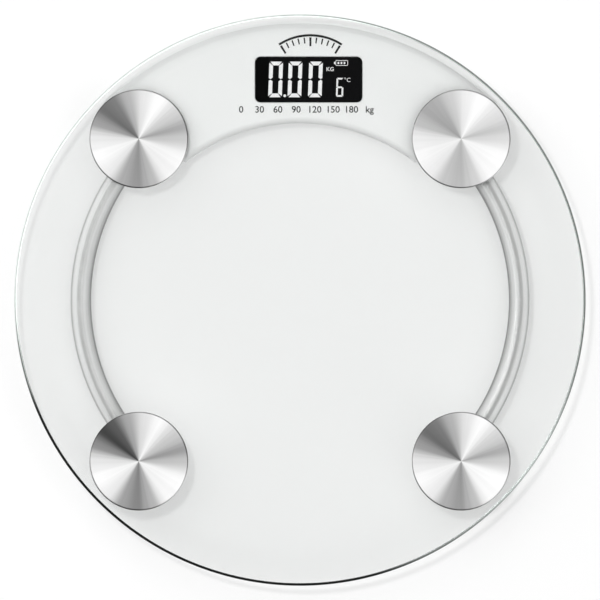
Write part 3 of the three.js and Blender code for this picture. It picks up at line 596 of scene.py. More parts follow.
def spun_steel(name, centre, depth):
    finish = Finish(name, metallic=1.0)
    x, y, _ = finish.axes(finish.place())
    x, y = x - centre[0], y - centre[1]
    radius = (x * x + y * y) ** 0.5 + 0.01 * MM
    rings = finish.noise(1, detail=4, vector=finish.vector(radius * (1 / RING_PITCH), 0.0, 0.0))
    streaks = finish.noise(1, detail=3, vector=finish.vector(
        x / radius * 14, y / radius * 14, radius * (0.02 / MM)))
    turn = y.maths("ARCTAN2", x) * (1 / math.tau) + 1.0
    share = turn.maths("FRACT") + (streaks - 0.5) * 0.012
    # The fan is a painted reflection: highlight and shade in the base colour by angle.
    stops = [(angle / 360, BRIGHT * (1 - (1 - tone) * depth)) for angle, tone in PAINTED_FAN]
    fan = finish.ramp(share, *stops, easing="EASE")
    grain = finish.ramp((rings - 0.5) * 0.25 + (streaks - 0.5) * 0.55 + 0.5,
                        (0.25, 0.86), (0.75, 1.0))
    finish.set("base color", finish.blend(1.0, fan, grain, how="MULTIPLY"))
    finish.set("roughness", (rings - 0.5) * 0.12 + 0.3)
    finish.bump(rings, 0.01 * MM, 0.5)
    return finish


print("fan of", len(PAINTED_FAN), "stops")

# %% Steel caps
CAP_WALL = 0.6 * MM
CAP_RIM = 0.5 * MM
CAP_SHOULDER = 1.3 * MM


def crown(edge, height, drop, steps=8):
    """Points down a shallow dome, from its edge to its middle."""
    points = []
    for step in range(1, steps + 1):
        share = 1 - step / steps
        points.append((edge * share, height - drop * share * share))
    return points


dome_edge = CAP_RADIUS - CAP_SHOULDER
dome_drop = cap_high.z - cap_low.z - CAP_RIM - CAP_SHOULDER * 0.6
first_cap = turned("cap_pattern", [
    (0, cap_high.z - CAP_WALL),
    *reversed(crown(dome_edge, cap_high.z - CAP_WALL, dome_drop, 4)[:-1]),
    (dome_edge, cap_high.z - dome_drop - CAP_WALL),
    (CAP_RADIUS - CAP_WALL, cap_low.z + CAP_RIM),
    (CAP_RADIUS - CAP_WALL, cap_low.z),
    (CAP_RADIUS, cap_low.z),
    *arc(dome_edge, cap_low.z + CAP_RIM, CAP_SHOULDER, CAP_SHOULDER * 0.6, 0, 90, 6),
    *crown(dome_edge, cap_high.z, dome_drop),
], steps=128)
smooth(first_cap, 40)
for foot, (side, end) in FEET.items():
    centre = (side * FOOT_OFFSET, end * FOOT_OFFSET)
    cap = copied(first_cap, f"steel_cap_{foot}", Matrix.Translation((*centre, 0)))
    metal = spun_steel(f"spun_steel_{foot}", centre, CAP_PAINTED_FAN_DEPTH[foot])
    wear(cap, metal, replaces=[f"cap_{foot}"])
discard(first_cap)

# %% [markdown]
# ## Silver side tubes
# Two thin tubes run from front foot to rear foot under the glass and carry the cables. Each is
# a round section with a one-millimetre wall, bent to a circle about the middle of the scale.
# Spinning the section gives an even bend with true round sides; a curve with a bevel would
# look the same but has no inside. A polished tube mirrors the room in long light and dark
# bands. This finish is too dull to mirror anything, so the bands are tones painted across it,
# and they stay where they are when the light moves. Fine streaks run along them.

# %% Satin silver
tube_low, tube_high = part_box("side_tube_right")
TUBE_RADIUS = (tube_high.z - tube_low.z) / 2
TUBE_HEIGHT = (tube_high.z + tube_low.z) / 2
TUBE_PATH = 127 * MM
STREAK_PITCH = 0.7 * MM
PAINTED_TUBE_BANDS = (  # share of the way across, from the inner side to the outer, and the tone of the painted reflection there
    (0.0, 0.28), (0.05, 0.34), (0.1, 0.6), (0.19, 0.78), (0.31, 0.86), (0.42, 0.62),
    (0.55, 0.44), (0.61, 0.5), (0.7, 0.9), (0.77, 1.0), (0.85, 1.0), (0.9, 0.8), (0.94, 0.5),
    (1.0, 0.8),
)

satin = Finish("satin_silver", metallic=0.15, specular_ior_level=0.4)
x, y, z = satin.axes(satin.place())
from_middle = (x * x + y * y) ** 0.5
around = y.maths("ARCTAN2", x)
drawn_lines = satin.noise(1, detail=4, vector=satin.vector(
    from_middle * (1 / STREAK_PITCH), z * (1 / STREAK_PITCH), around * 3))
# Painted reflection: light and dark bands across the tube, by distance from the middle.
tube_share = (from_middle - (TUBE_PATH - TUBE_RADIUS)) * (0.5 / TUBE_RADIUS)
painted_tube_reflection = satin.ramp(tube_share + (drawn_lines - 0.5) * 0.05, *PAINTED_TUBE_BANDS, easing="EASE")
tube_grain = satin.ramp(drawn_lines, (0.3, 0.88), (0.7, 1.0))
satin.set("base color", satin.blend(1.0, painted_tube_reflection, tube_grain, how="MULTIPLY"))
satin.set("roughness", drawn_lines * 0.16 + 0.3)
satin.bump(drawn_lines, 0.01 * MM, 0.4)
print("tubes", 2 * TUBE_RADIUS / MM, "mm, at", TUBE_HEIGHT / MM, "mm")

# %% Side tubes
FOOT_RADIUS = 27 * MM
FOOT_INSIDE = 25 * MM
TUBE_ENTRY = 1.3 * MM
TUBE_WALL = 1 * MM


def angle_to_foot(path, reach):
    """Degrees along a circle of this radius between a foot's middle and a point at reach."""
    cosine = (path * path + FOOT_CIRCLE * FOOT_CIRCLE - reach * reach) / (2 * path * FOOT_CIRCLE)
    return math.degrees(math.acos(cosine))


tube_end = 45 - angle_to_foot(TUBE_PATH, FOOT_INSIDE - TUBE_ENTRY)
for side_name, middle in (("right", 0), ("left", 180)):
    tube = bent(f"silver_tube_{side_name}", TUBE_RADIUS, TUBE_PATH, TUBE_HEIGHT,
                middle - tube_end, middle + tube_end, wall=TUBE_WALL)
    smooth(tube, 40)
    wear(tube, satin, replaces=[f"side_tube_{side_name}"])

# %% [markdown]
# ## White moulded plastic
# The housings are white ABS from a mould with a fine even texture. The colour isn't quite
# even in a real moulding, and fingers polish it unevenly, so both drift a little over the
# surface, and a fine bump gives the grain of the mould.

# %% White plastic
white = Finish("white_moulded_plastic", specular_ior_level=0.35)
drift = white.noise(14, detail=3)
mould_grain = white.noise(2600, detail=2)
white.set("base color", white.ramp(drift, (0.3, (0.885, 0.888, 0.888)), (0.7, (0.93, 0.93, 0.93))))
white.set("roughness", drift * 0.15 + mould_grain * 0.1 + 0.34)
white.bump(mould_grain, 0.012 * MM, 0.35)

textured = Finish("white_textured_plastic", specular_ior_level=0.35)
sparks = textured.noise(1500, detail=4, roughness=0.6)
textured.set("base color", textured.ramp(sparks, (0.3, (0.86, 0.862, 0.86)), (0.75, (0.92, 0.92, 0.918))))
textured.set("roughness", sparks * 0.25 + 0.42)
textured.bump(sparks, 0.05 * MM, 0.5)
print("white plastics ready")

# %% [markdown]
# ## The crescent
# The display housing is a crescent between the two front feet: round outside, with a wide
# slope at its outer edge, a round bite with a rolled edge on the inner side, and a round
# clearance for each foot. A flat keep-shape gives it its ends, a turned disc its outer slope,
# and a turned cutter its inner roll. The same three tools, set in by a wall, give its hollow.

# %% Crescent maker
house_low, house_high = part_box("display_housing")
cover_low, cover_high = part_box("display_cover")
HOUSE_RADIUS = house_high.y
BITE_CENTRE = (0, -7 * MM)
BITE_RADIUS = 109.5 * MM
BITE_END = math.radians(52.5)
HOUSE_WALL = 2 * MM
bite_x = BITE_RADIUS * math.cos(BITE_END)
bite_y = BITE_RADIUS * math.sin(BITE_END) + BITE_CENTRE[1]
ROUND_STEPS = 256


def crescent(name, inset, disc_profile, bite_profile):
    low, high = disc_profile[0][1], disc_profile[-1][1]
    far = GLASS_RADIUS
    keep = [(bite_x, bite_y), (FOOT_OFFSET, FOOT_OFFSET), (far, far), (-far, far),
            (-FOOT_OFFSET, FOOT_OFFSET), (-bite_x, bite_y), (0, 0)]
    piece = slab(name, keep, low, high)
    cut(piece, turned("disc_tool", disc_profile, ROUND_STEPS), operation="INTERSECT")
    cut(piece, turned("bite_tool", bite_profile, ROUND_STEPS, BITE_CENTRE))
    for side in (-1, 1):
        around_foot = rod("foot_tool", FOOT_RADIUS + GAP + inset, low - MM, high + MM,
                          (side * FOOT_OFFSET, FOOT_OFFSET), 96)
        cut(piece, around_foot)
    return piece


print(f"crescent {HOUSE_RADIUS / MM:.1f} mm out, bite {BITE_RADIUS / MM:.1f} mm, "
      f"housing {house_low.z / MM:.1f} to {house_high.z / MM:.1f} mm up, "
      f"cover {cover_low.z / MM:.1f} to {cover_high.z / MM:.1f} mm")

# %% Display housing
SLOPE = 5 * MM
ROLL = 3.6 * MM
CEILING = 2.4 * MM
top, bottom = house_high.z, house_low.z
window_low, window_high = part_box("display_window")
WINDOW = ((window_low.x + window_high.x) / 2, (window_low.y + window_high.y) / 2)
WINDOW_SIZE = (window_high.x - window_low.x, window_high.y - window_low.y)
WINDOW_CORNER = 3.2 * MM
LEDGE = 2.6 * MM
VIEW_CORNER = 2 * MM
VIEW_DEPTH = 5 * MM

housing = crescent("crescent_housing", 0, [
    (0, bottom), (HOUSE_RADIUS, bottom), (HOUSE_RADIUS, top - SLOPE),
    *arc(HOUSE_RADIUS - 2 * SLOPE, top - 2 * SLOPE, 2 * SLOPE, 2 * SLOPE, 30, 60, 5),
    (HOUSE_RADIUS - 2 * SLOPE, top), (0, top),
], [
    (0, bottom - MM), (BITE_RADIUS, bottom - MM), (BITE_RADIUS, top - ROLL),
    *arc(BITE_RADIUS + ROLL, top - ROLL, ROLL, ROLL, 180, 90, 8),
    (BITE_RADIUS + ROLL, top + MM), (0, top + MM),
])
hollow = crescent("hollow_tool", HOUSE_WALL, [
    (0, bottom - MM), (HOUSE_RADIUS - HOUSE_WALL, bottom - MM),
    (HOUSE_RADIUS - HOUSE_WALL, top - SLOPE - HOUSE_WALL),
    (HOUSE_RADIUS - SLOPE - HOUSE_WALL, top - CEILING),
    (0, top - CEILING),
], [
    (0, bottom - 2 * MM), (BITE_RADIUS + HOUSE_WALL, bottom - 2 * MM),
    (BITE_RADIUS + HOUSE_WALL, top), (0, top),
])
cut(housing, hollow)
width, depth = WINDOW_SIZE[0] + 2 * GAP, WINDOW_SIZE[1] + 2 * GAP
cut(housing, slab("seat_tool", rounded(width, depth, WINDOW_CORNER + GAP, WINDOW),
                  window_low.z, top + MM))
width, depth = WINDOW_SIZE[0] - 2 * LEDGE, WINDOW_SIZE[1] - 2 * LEDGE
cut(housing, slab("view_tool", rounded(width, depth, VIEW_CORNER, WINDOW), top - VIEW_DEPTH,
                  top))
outward(housing)
smooth(housing, 32)
wear(housing, white, replaces=["display_housing"])

# %% [markdown]
# ## The display
# A black glossy window covers the display. The figures behind it are lit from below, so they
# are the one part of the scale that gives off light. Each figure is made of mitred bars, as
# on every seven-bar display: a bar is an outline pulled up a tenth of a millimetre, leaning
# two degrees. A printed pattern would be quicker but has no edges of its own.

# %% Window
black = Finish("black_gloss_window", specular_ior_level=0.2)
dust = black.noise(320, detail=4)
x, _, _ = black.axes(black.place())
PANEL_EDGE = (WINDOW[0] - 23.5 * MM, WINDOW[0] - 22.5 * MM)
active = x.between(*PANEL_EDGE)
black.set("base color", black.blend(active, (0.0006, 0.0006, 0.0007), (0.004, 0.004, 0.0045)))
black.set("roughness", dust * 0.03 + 0.02)
lens = slab("window_lens", rounded(*WINDOW_SIZE, WINDOW_CORNER, WINDOW, 8), window_low.z,
            window_high.z)
soften(lens, 0.25 * MM, 2, 60)
smooth(lens, 35)
wear(lens, black, replaces=["display_window"])

lit = Finish("lit_figures", base_color=(0.2, 0.2, 0.2, 1), roughness=0.6,
             emission_strength=1.0)
shimmer = lit.noise(420, detail=2)
lit.set("emission color", lit.ramp(
    shimmer, (0.3, (0.66, 0.66, 0.67)), (0.7, (0.76, 0.76, 0.76))))

# %% Seven-bar figures
FIGURE_THICK = 0.1 * MM
LEAN = math.tan(math.radians(2))
CAPITAL_SHARE = 0.7  # how much of the type size a capital fills
BARS = {"0": "top bottom upper_left upper_right lower_left lower_right",
        "6": "top middle bottom upper_left lower_left lower_right"}


def bar_outline(bar, width, height, stroke, gap):
    """One mitred bar of a figure about its middle."""
    w, h, t = width / 2, height / 2, stroke
    clip = 0.22 * t
    if bar == "middle":
        return [(-w + t / 2 + gap, 0), (-w + t + gap, t / 2), (w - t - gap, t / 2),
                (w - t / 2 - gap, 0), (w - t - gap, -t / 2), (-w + t + gap, -t / 2)]
    if bar in ("top", "bottom"):
        up = 1 if bar == "top" else -1
        return [(-w + clip + gap, up * h), (w - clip - gap, up * h),
                (w - t - gap, up * (h - t)), (-w + t + gap, up * (h - t))]
    up = 1 if bar.startswith("upper") else -1
    side = 1 if bar.endswith("right") else -1
    return [(side * w, up * (h - clip - gap)), (side * w, up * 0.35 * t),
            (side * (w - 0.45 * t), up * 0.1 * t), (side * (w - t), up * 0.5 * t),
            (side * (w - t), up * (h - t - gap))]


def raised(name, outline):
    """A lit shape that stands on the window."""
    return slab(name, outline, window_high.z, window_high.z + FIGURE_THICK)


def figure(character, centre, width, height, stroke):
    bars = []
    for bar in BARS[character].split():
        outline = bar_outline(bar, width, height, stroke, 0.07 * stroke)
        places = [(WINDOW[0] + centre[0] + x + y * LEAN, WINDOW[1] + centre[1] + y)
                  for x, y in outline]
        bars.append(raised(f"bar_{bar}", places))
    return joined(f"figure_{character}", bars)


def lettering(name, words, place, height, bold=0.0):
    """Small type, made a mesh before its place is applied."""
    deselect()
    bpy.ops.object.text_add(location=(*place, window_high.z))
    words_object = bpy.context.active_object
    words_object.data.body = words
    words_object.data.size = height / CAPITAL_SHARE
    words_object.data.offset = bold
    words_object.data.extrude = FIGURE_THICK / 2
    words_object.data.align_x = "CENTER"
    words_object.data.resolution_u = 3
    bpy.ops.object.convert(target="MESH")
    piece = adopt(name)
    moved(piece, Matrix.Translation((0, 0, FIGURE_THICK / 2)))
    return outward(piece)


print("figures with the bars of", sorted(BARS))

# %% Figures in the window
DIGIT = (7.9 * MM, 20.6 * MM, 2.2 * MM)  # width, height and stroke
DIGIT_PLACES = (-19.1, -7.9, 3.9)
DIGIT_LINE = 0.05 * MM
POINT_PLACE = (WINDOW[0] - 13.8 * MM, WINDOW[1] - 9.4 * MM)
SMALL_DIGIT = (4.1 * MM, 10.9 * MM, 0.95 * MM)
SIGN_LINE = WINDOW[1] + 9.55 * MM
CHARGE_PITCH = 1.75

shown = [figure("0", (x * MM, DIGIT_LINE), *DIGIT) for x in DIGIT_PLACES]
shown.append(rod("point", 0.8 * MM, window_high.z, window_high.z + FIGURE_THICK, POINT_PLACE, 24))
shown.append(figure("6", (18.0 * MM, -4.5 * MM), *SMALL_DIGIT))
shown.append(lettering("mass_unit", "KG", (WINDOW[0] + 12.4 * MM, WINDOW[1] + 4.9 * MM),
                       2.3 * MM, 0.03 * MM))
shown.append(lettering("heat_unit", "°C", (WINDOW[0] + 22.4 * MM, WINDOW[1] - 1.4 * MM),
                       2.4 * MM))
for index in range(3):
    middle = (WINDOW[0] + (17.2 + CHARGE_PITCH * index) * MM, SIGN_LINE)
    shown.append(raised(f"charge_{index}", rounded(0.95 * MM, 1.3 * MM, 0.2 * MM, middle, 2)))
shell_middle = (WINDOW[0] + 19.1 * MM, SIGN_LINE)
battery = raised("battery_sign", rounded(7.2 * MM, 3.2 * MM, 0.7 * MM, shell_middle))
cut(battery, slab("battery_tool", rounded(6.6 * MM, 2.6 * MM, 0.5 * MM, shell_middle),
                  window_high.z - MM, window_high.z + MM))
shown.append(battery)
nub_middle = (WINDOW[0] + 15.0 * MM, SIGN_LINE)
shown.append(raised("battery_nub", rounded(0.7 * MM, 1.4 * MM, 0.2 * MM, nub_middle, 2)))
figures = joined("lit_display_figures", shown)
wear(figures, lit)

# %% [markdown]
# ## Printing on the housing
# Two plain prints face up through the glass: a graduated arc with a pointer, the common sign
# for weighing, and a row of numbers, as on any dial. They are thin ink shapes on the housing.

# %% Ink
ink = Finish("black_print_ink", specular_ior_level=0.2)
ink_grain = ink.noise(900, detail=3)
ink.set("base color", ink.ramp(ink_grain, (0.3, 0.006), (0.7, 0.02)))
ink.set("roughness", ink_grain * 0.2 + 0.45)
print("ink ready")

# %% Graduated arc
DIAL_RADIUS = 34 * MM
DIAL_HALF = 33  # degrees to either side
DIAL_PLACE = (WINDOW[0] + 1.0 * MM, WINDOW[1] + 26.2 * MM - DIAL_RADIUS)
DIAL_BAND = 1.3 * MM
MARK_DROP = 1.8 * MM
MARK_STEPS = 5
LONG_MARK, SHORT_MARK = (5.2 * MM, 1.15), (3.4 * MM, 0.75)  # length, and half its breadth in degrees
INK_THICK = 0.08 * MM
ink_low, ink_high = top, top + INK_THICK


def sector(inner, outer, first, last, steps):
    x, y = DIAL_PLACE
    return (arc(x, y, outer, outer, first, last, steps)
            + arc(x, y, inner, inner, last, first, steps))


marks = [slab("dial_band", sector(DIAL_RADIUS - DIAL_BAND, DIAL_RADIUS, 90 - DIAL_HALF,
                                  90 + DIAL_HALF, 24), ink_low, ink_high)]
for count in range(-MARK_STEPS, MARK_STEPS + 1):
    turn = 90 + count * (DIAL_HALF - 1) / MARK_STEPS
    length, breadth = LONG_MARK if count % MARK_STEPS == 0 else SHORT_MARK
    marks.append(slab("dial_mark", sector(DIAL_RADIUS - MARK_DROP - length, DIAL_RADIUS - MARK_DROP,
                                          turn - breadth, turn + breadth, 1), ink_low, ink_high))
dial = joined("printed_dial_sign", marks)
wear(dial, ink)

# %% Row of numbers
NUMBER_STEP = 10.6 * MM
NUMBER_HEIGHT = 3.8 * MM
NUMBER_BOLD = 0.05 * MM
NUMBER_RISE = 30
NUMBER_LINE = (WINDOW[0] - 39 * MM, WINDOW[1] - 19.1 * MM)
words = [str(NUMBER_RISE * index) for index in range(7)] + ["kg"]
numbers = []
for index, word in enumerate(words):
    place = (NUMBER_LINE[0] + index * NUMBER_STEP, NUMBER_LINE[1])
    numbers.append(lettering(f"number_{word}", word, place, NUMBER_HEIGHT, NUMBER_BOLD))
row = joined("printed_numbers", numbers)
wear(row, ink)

# %% [markdown]
# ## Feet
# Each foot is a housing glued under the glass, a white cup that rises and falls in it, and a
# rubber pad. The cup presses on a load cell that lies in two rails under the housing's top.
# The housing is turned, its rails are boxes joined on, and the tube's hole is cut along the
# tube's own line, so that it fits wherever the tube goes. The pad has ring grooves, as such
# pads have for grip.

# %% Foot rubber
rubber = Finish("grey_foot_rubber", specular_ior_level=0.3)
rubber_grain = rubber.noise(2200, detail=4)
scuffs = rubber.noise(70, detail=5)
rubber.set("base color", rubber.ramp(scuffs * 0.7 + rubber_grain * 0.3, (0.35, (0.06, 0.061, 0.063)),
                                     (0.7, (0.115, 0.116, 0.118))))
rubber.set("roughness", scuffs * 0.25 + 0.6)
rubber.bump(rubber_grain, 0.06 * MM, 0.5)
print("rubber ready")

# %% Foot housing, in its own frame
shell_low, shell_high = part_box("foot_housing_front_right")
cell_low, cell_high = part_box("load_cell_front_right")
cable_low, cable_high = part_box("sensor_cable_rear_right")
LIP = 1.5 * MM
LOWER_EDGE = 1.5 * MM
PLATE = 2 * MM
OPENING = 21.3 * MM
CELL_SIDE = 34 * MM
CELL_TOP = 13 * MM
SEAT = 3 * MM
GUIDE = 1.5 * MM
GUIDE_LENGTH = 16 * MM
PASSAGE_RADIUS = 2.4 * MM
PASSAGE_HEIGHT = 15.8 * MM

floor_gap, shell_top = shell_low.z, shell_high.z
cavity_top = shell_top - PLATE
shell = turned("foot_shell", [
    (0, cavity_top), (FOOT_INSIDE, cavity_top), (FOOT_INSIDE, floor_gap + LIP),
    (OPENING, floor_gap + LIP), (OPENING, floor_gap + 0.3 * MM), (OPENING + 0.3 * MM, floor_gap),
    *arc(FOOT_RADIUS - LOWER_EDGE, floor_gap + LOWER_EDGE, LOWER_EDGE, LOWER_EDGE, -90, 0, 5),
    *arc(FOOT_RADIUS - 0.5 * MM, shell_top - 0.5 * MM, 0.5 * MM, 0.5 * MM, 0, 90, 3),
    (0, shell_top),
], 96)
into_plate = cavity_top + PLATE / 2
for edge in (-1, 1):
    seat = edge * (CELL_SIDE - SEAT) / 2
    guide = edge * ((CELL_SIDE + GUIDE) / 2 + GAP)
    cut(shell, block("seat", (-CELL_SIDE / 2, seat - SEAT / 2, CELL_TOP + GAP),
                     (CELL_SIDE / 2, seat + SEAT / 2, into_plate)), operation="UNION")
    cut(shell, block("guide", (-GUIDE_LENGTH / 2, guide - GUIDE / 2, CELL_TOP - PLATE),
                     (GUIDE_LENGTH / 2, guide + GUIDE / 2, into_plate)), operation="UNION")
print(f"load cell {cell_low.z / MM:.1f} to {cell_high.z / MM:.1f} mm up, "
      f"cable {cable_low.z / MM:.1f} to {cable_high.z / MM:.1f} mm")
report(shell)

# %% Foot cup and pad, in their own frame
CUP_FLANGE = (6.8 * MM, 8.2 * MM)
CUP_FLANGE_RADIUS = 22.5 * MM
CUP_SEAT, CUP_SEAT_RADIUS = 2.7 * MM, 18.3 * MM  # where the pad sits
CUP_SKIRT = 20.5 * MM
CUP_INSIDE = 18.5 * MM
CUP_CEILING = 4.7 * MM
CUP_ROUND = 0.8 * MM
STEM_RADIUS, STEM_TOP = 5 * MM, 10.6 * MM
cup_shape = turned("cup_shape", [
    (0, CUP_SEAT), (CUP_SEAT_RADIUS, CUP_SEAT), (CUP_SEAT_RADIUS, 1.9 * MM),
    (18.6 * MM, 1.6 * MM), *arc(19.7 * MM, 2.4 * MM, CUP_ROUND, CUP_ROUND, -90, 0, 4),
    (CUP_SKIRT, CUP_FLANGE[0]), (CUP_FLANGE_RADIUS, CUP_FLANGE[0]),
    (CUP_FLANGE_RADIUS, CUP_FLANGE[1]), (CUP_INSIDE, CUP_FLANGE[1]), (CUP_INSIDE, CUP_CEILING),
    (STEM_RADIUS, CUP_CEILING), (STEM_RADIUS, 10.4 * MM), (4.8 * MM, STEM_TOP), (0, STEM_TOP),
], 96)
smooth(cup_shape, 35)

PAD_RADIUS = 18 * MM
PAD_ROUND = 1.2 * MM
PAD_THICK = 2.4 * MM
GROOVES = (4.5 * MM, 8 * MM, 11.5 * MM)
GROOVE_MOUTH, GROOVE_FLOOR, GROOVE_DEPTH = 0.75 * MM, 0.45 * MM, 0.6 * MM
pad_profile = [(0, 0)]
for groove in GROOVES:
    pad_profile += [(groove - GROOVE_MOUTH, 0), (groove - GROOVE_FLOOR, GROOVE_DEPTH),
                    (groove + GROOVE_FLOOR, GROOVE_DEPTH), (groove + GROOVE_MOUTH, 0)]
pad_shape = turned("pad_shape", [
    *pad_profile, *arc(PAD_RADIUS - PAD_ROUND, PAD_ROUND, PAD_ROUND, PAD_ROUND, -90, 0, 5),
    (PAD_RADIUS, PAD_THICK), (0, PAD_THICK),
], 96)
smooth(pad_shape, 35)
report(cup_shape)
report(pad_shape)

# %% Feet in their places
for foot, (side, end) in FEET.items():
    turn = math.atan2(-end, side)
    place = (Matrix.Translation((side * FOOT_OFFSET, end * FOOT_OFFSET, 0))
             @ Matrix.Rotation(turn, 4, "Z"))
    foot_shell = copied(shell, f"foot_shell_{foot}", place)
    middle = 0 if side > 0 else 180
    overrun = math.degrees(MM / TUBE_PATH)
    cut(foot_shell, bent("tube_tool", TUBE_RADIUS + GAP, TUBE_PATH, TUBE_HEIGHT,
                         middle - tube_end - overrun, middle + tube_end + overrun))
    if end > 0:
        near = 45 + angle_to_foot(TUBE_PATH, FOOT_INSIDE - MM)
        far = 45 + angle_to_foot(TUBE_PATH, FOOT_RADIUS + 3 * MM)
        first, last = (near, far) if side > 0 else (180 - far, 180 - near)
        cut(foot_shell, bent("passage_tool", PASSAGE_RADIUS, TUBE_PATH, PASSAGE_HEIGHT,
                             first, last, steps=6))
    outward(foot_shell)
    smooth(foot_shell, 32)
    wear(foot_shell, white, replaces=[f"foot_housing_{foot}"])
    cup = copied(cup_shape, f"pressing_cup_{foot}", place)
    wear(cup, textured, f"foot_{foot}", replaces=[f"foot_cup_{foot}"])
    pad = copied(pad_shape, f"rubber_pad_{foot}", place)
    wear(pad, rubber, f"foot_{foot}", replaces=[f"foot_pad_{foot}"])
discard(shell, cup_shape, pad_shape)

# %% Cable passages through the crescent's ends
for middle in (0, 180):
    near = 45 + angle_to_foot(TUBE_PATH, FOOT_RADIUS - MM)
    far = 45 + angle_to_foot(TUBE_PATH, FOOT_RADIUS + 3.5 * MM)
    first, last = (near, far) if middle == 0 else (180 - far, 180 - near)
    cut(housing, bent("passage_tool", PASSAGE_RADIUS, TUBE_PATH, PASSAGE_HEIGHT,
                      first, last, steps=6))
outward(housing)
smooth(housing, 32)
report(housing)

# %% [markdown]
# ## Lower cover
# The cover closes the crescent from below. It holds the screws in sunk holes, a finger dish
# around the unit button, and the opening for the battery door. It is built like the housing,
# from the same crescent, and every hole is a tool cut from it, as the mould's cores would
# leave it. The battery compartment's walls, with a round well for the coin cell, belong to the
# same moulding. Here they are a piece of their own that stands on the cover's plate.

# %% Cover
SCREW_HEAD = (2.6 * MM, 1.6 * MM)
SCREW_SHANK = 1.3 * MM
SCREW_PLACES = [(side * (HOUSE_RADIUS - edge * MM) * math.cos(math.radians(turn)),
                 (HOUSE_RADIUS - edge * MM) * math.sin(math.radians(turn)))
                for side in (-1, 1) for edge, turn in ((48.5, 72), (10.5, 78), (11.5, 58))]
COVER_PLATE = 2 * MM
COVER_ROLL = 1.2 * MM
under, cover_top = cover_low.z, 8 * MM
plate_top = under + COVER_PLATE
LIP_HEIGHT = 3 * MM
LIP_WALL = 1.2 * MM
HEAD_FACE = under + 0.6 * MM


def straight(radius, low, high):
    return [(0, low), (radius, low), (radius, high), (0, high)]


def layer(name, inset, low, high):
    """The crescent's outline, set in, with straight walls."""
    return crescent(name, inset, straight(HOUSE_RADIUS - inset, low, high),
                    straight(BITE_RADIUS + inset, low - MM, high + MM))


cover = crescent("crescent_cover", 0, [
    (0, under),
    *arc(HOUSE_RADIUS - LOWER_EDGE, under + LOWER_EDGE, LOWER_EDGE, LOWER_EDGE, -90, 0, 5),
    (HOUSE_RADIUS, cover_top), (0, cover_top),
], [
    (0, under - MM), (BITE_RADIUS + COVER_ROLL, under - MM), (BITE_RADIUS + COVER_ROLL, under),
    *arc(BITE_RADIUS + COVER_ROLL, under + COVER_ROLL, COVER_ROLL, COVER_ROLL, 270, 180, 4)[1:],
    (BITE_RADIUS, cover_top + MM), (0, cover_top + MM),
])
cut(cover, layer("hollow_tool", HOUSE_WALL, plate_top, cover_top + MM))
report(cover)

# %% Cover's lip, pillars and screw holes
PILLAR_RADIUS, PILLAR_HEIGHT = 4.2 * MM, 4.5 * MM
SEAT_HEIGHT, HOLE_HEIGHT = 2.5 * MM, 6 * MM

lip = layer("lip", HOUSE_WALL + GAP, plate_top - MM, plate_top + LIP_HEIGHT)
cut(lip, layer("lip_tool", HOUSE_WALL + GAP + LIP_WALL, plate_top, plate_top + LIP_HEIGHT + MM))
cut(cover, lip, operation="UNION")
pillars = [rod("pillar", PILLAR_RADIUS, under + MM, under + PILLAR_HEIGHT, place, 24)
           for place in SCREW_PLACES]
cut(cover, joined("pillars", pillars), operation="UNION")
outward(cover)
sink, head_seat = SCREW_HEAD[0] + GAP, under + SEAT_HEIGHT
holes = [turned("hole_tool", [
    (0, under - MM), (sink, under - MM), (sink, head_seat), (SCREW_SHANK + GAP, head_seat),
    (SCREW_SHANK + GAP, under + HOLE_HEIGHT), (0, under + HOLE_HEIGHT),
], 32, place) for place in SCREW_PLACES]
cut(cover, joined("hole_tools", holes))
outward(cover)
print(len(SCREW_PLACES), "screw holes")

# %% Button dish
button_low, button_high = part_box("unit_button")
BUTTON = ((button_low.x + button_high.x) / 2, (button_low.y + button_high.y) / 2)
BUTTON_RADIUS = 2.4 * MM
DISH_RADIUS, DISH_FLOOR, DISH_DEPTH = 6 * MM, 5.4 * MM, 0.6 * MM
cut(cover, turned("dish_tool", [
    (0, under - MM), (DISH_RADIUS, under - MM), (DISH_RADIUS, under),
    (DISH_FLOOR, under + DISH_DEPTH), (0, under + DISH_DEPTH),
], 48, BUTTON))
cut(cover, rod("button_tool", BUTTON_RADIUS + GAP, under - MM, plate_top + MM, BUTTON, 32))
report(cover)

# %% The door's own place
joints = frame["record"]["behaviour"]["joints"]
hinge = next(joint for joint in joints if joint["name"] == "battery_door_hinge")
door_across = -Vector(hinge["axis"])
door_turn = math.atan2(door_across.y, door_across.x)
DOOR_WIDTH, DOOR_LENGTH, DOOR_THICK = 27 * MM, 30 * MM, 1.6 * MM
HINGE_RADIUS = DOOR_THICK / 2
PIN_LENGTH = 1.4 * MM
DOOR_FRAME = 2 * MM
WELL_RADIUS, WELL_WALL = 10.3 * MM, 2.2 * MM
well_ceiling, well_top = 11.7 * MM, 12.9 * MM
door_high = under + DOOR_THICK
frame_top = door_high + GAP + DOOR_FRAME
to_door = (Matrix.Translation(Vector(hinge["pos_m"]).xy.to_3d())
           @ Matrix.Rotation(door_turn, 4, "Z"))
door_middle = DOOR_LENGTH / 2 - HINGE_RADIUS


def at_door(piece):
    return moved(piece, to_door)


def door_block(name, width, length, low, high):
    """A box about the middle of the door."""
    return at_door(block(name, (-width / 2, door_middle - length / 2, low),
                         (width / 2, door_middle + length / 2, high)))


def hinge_bar(name, radius, length, steps=24):
    deselect()
    bpy.ops.mesh.primitive_cylinder_add(vertices=steps, radius=radius, depth=length,
                                        location=(0, 0, hinge["pos_m"][2]),
                                        rotation=(0, math.pi / 2, 0))
    return at_door(adopt(name))


print(f"door {DOOR_WIDTH / MM:.0f} x {DOOR_LENGTH / MM:.0f} mm, "
      f"turned {math.degrees(door_turn):.1f} degrees")

# %% Battery compartment
CLIP_FRONT, CLIP_BACK = 2 * MM, 0.9 * MM
LEAF_HALF = 0.6 * MM

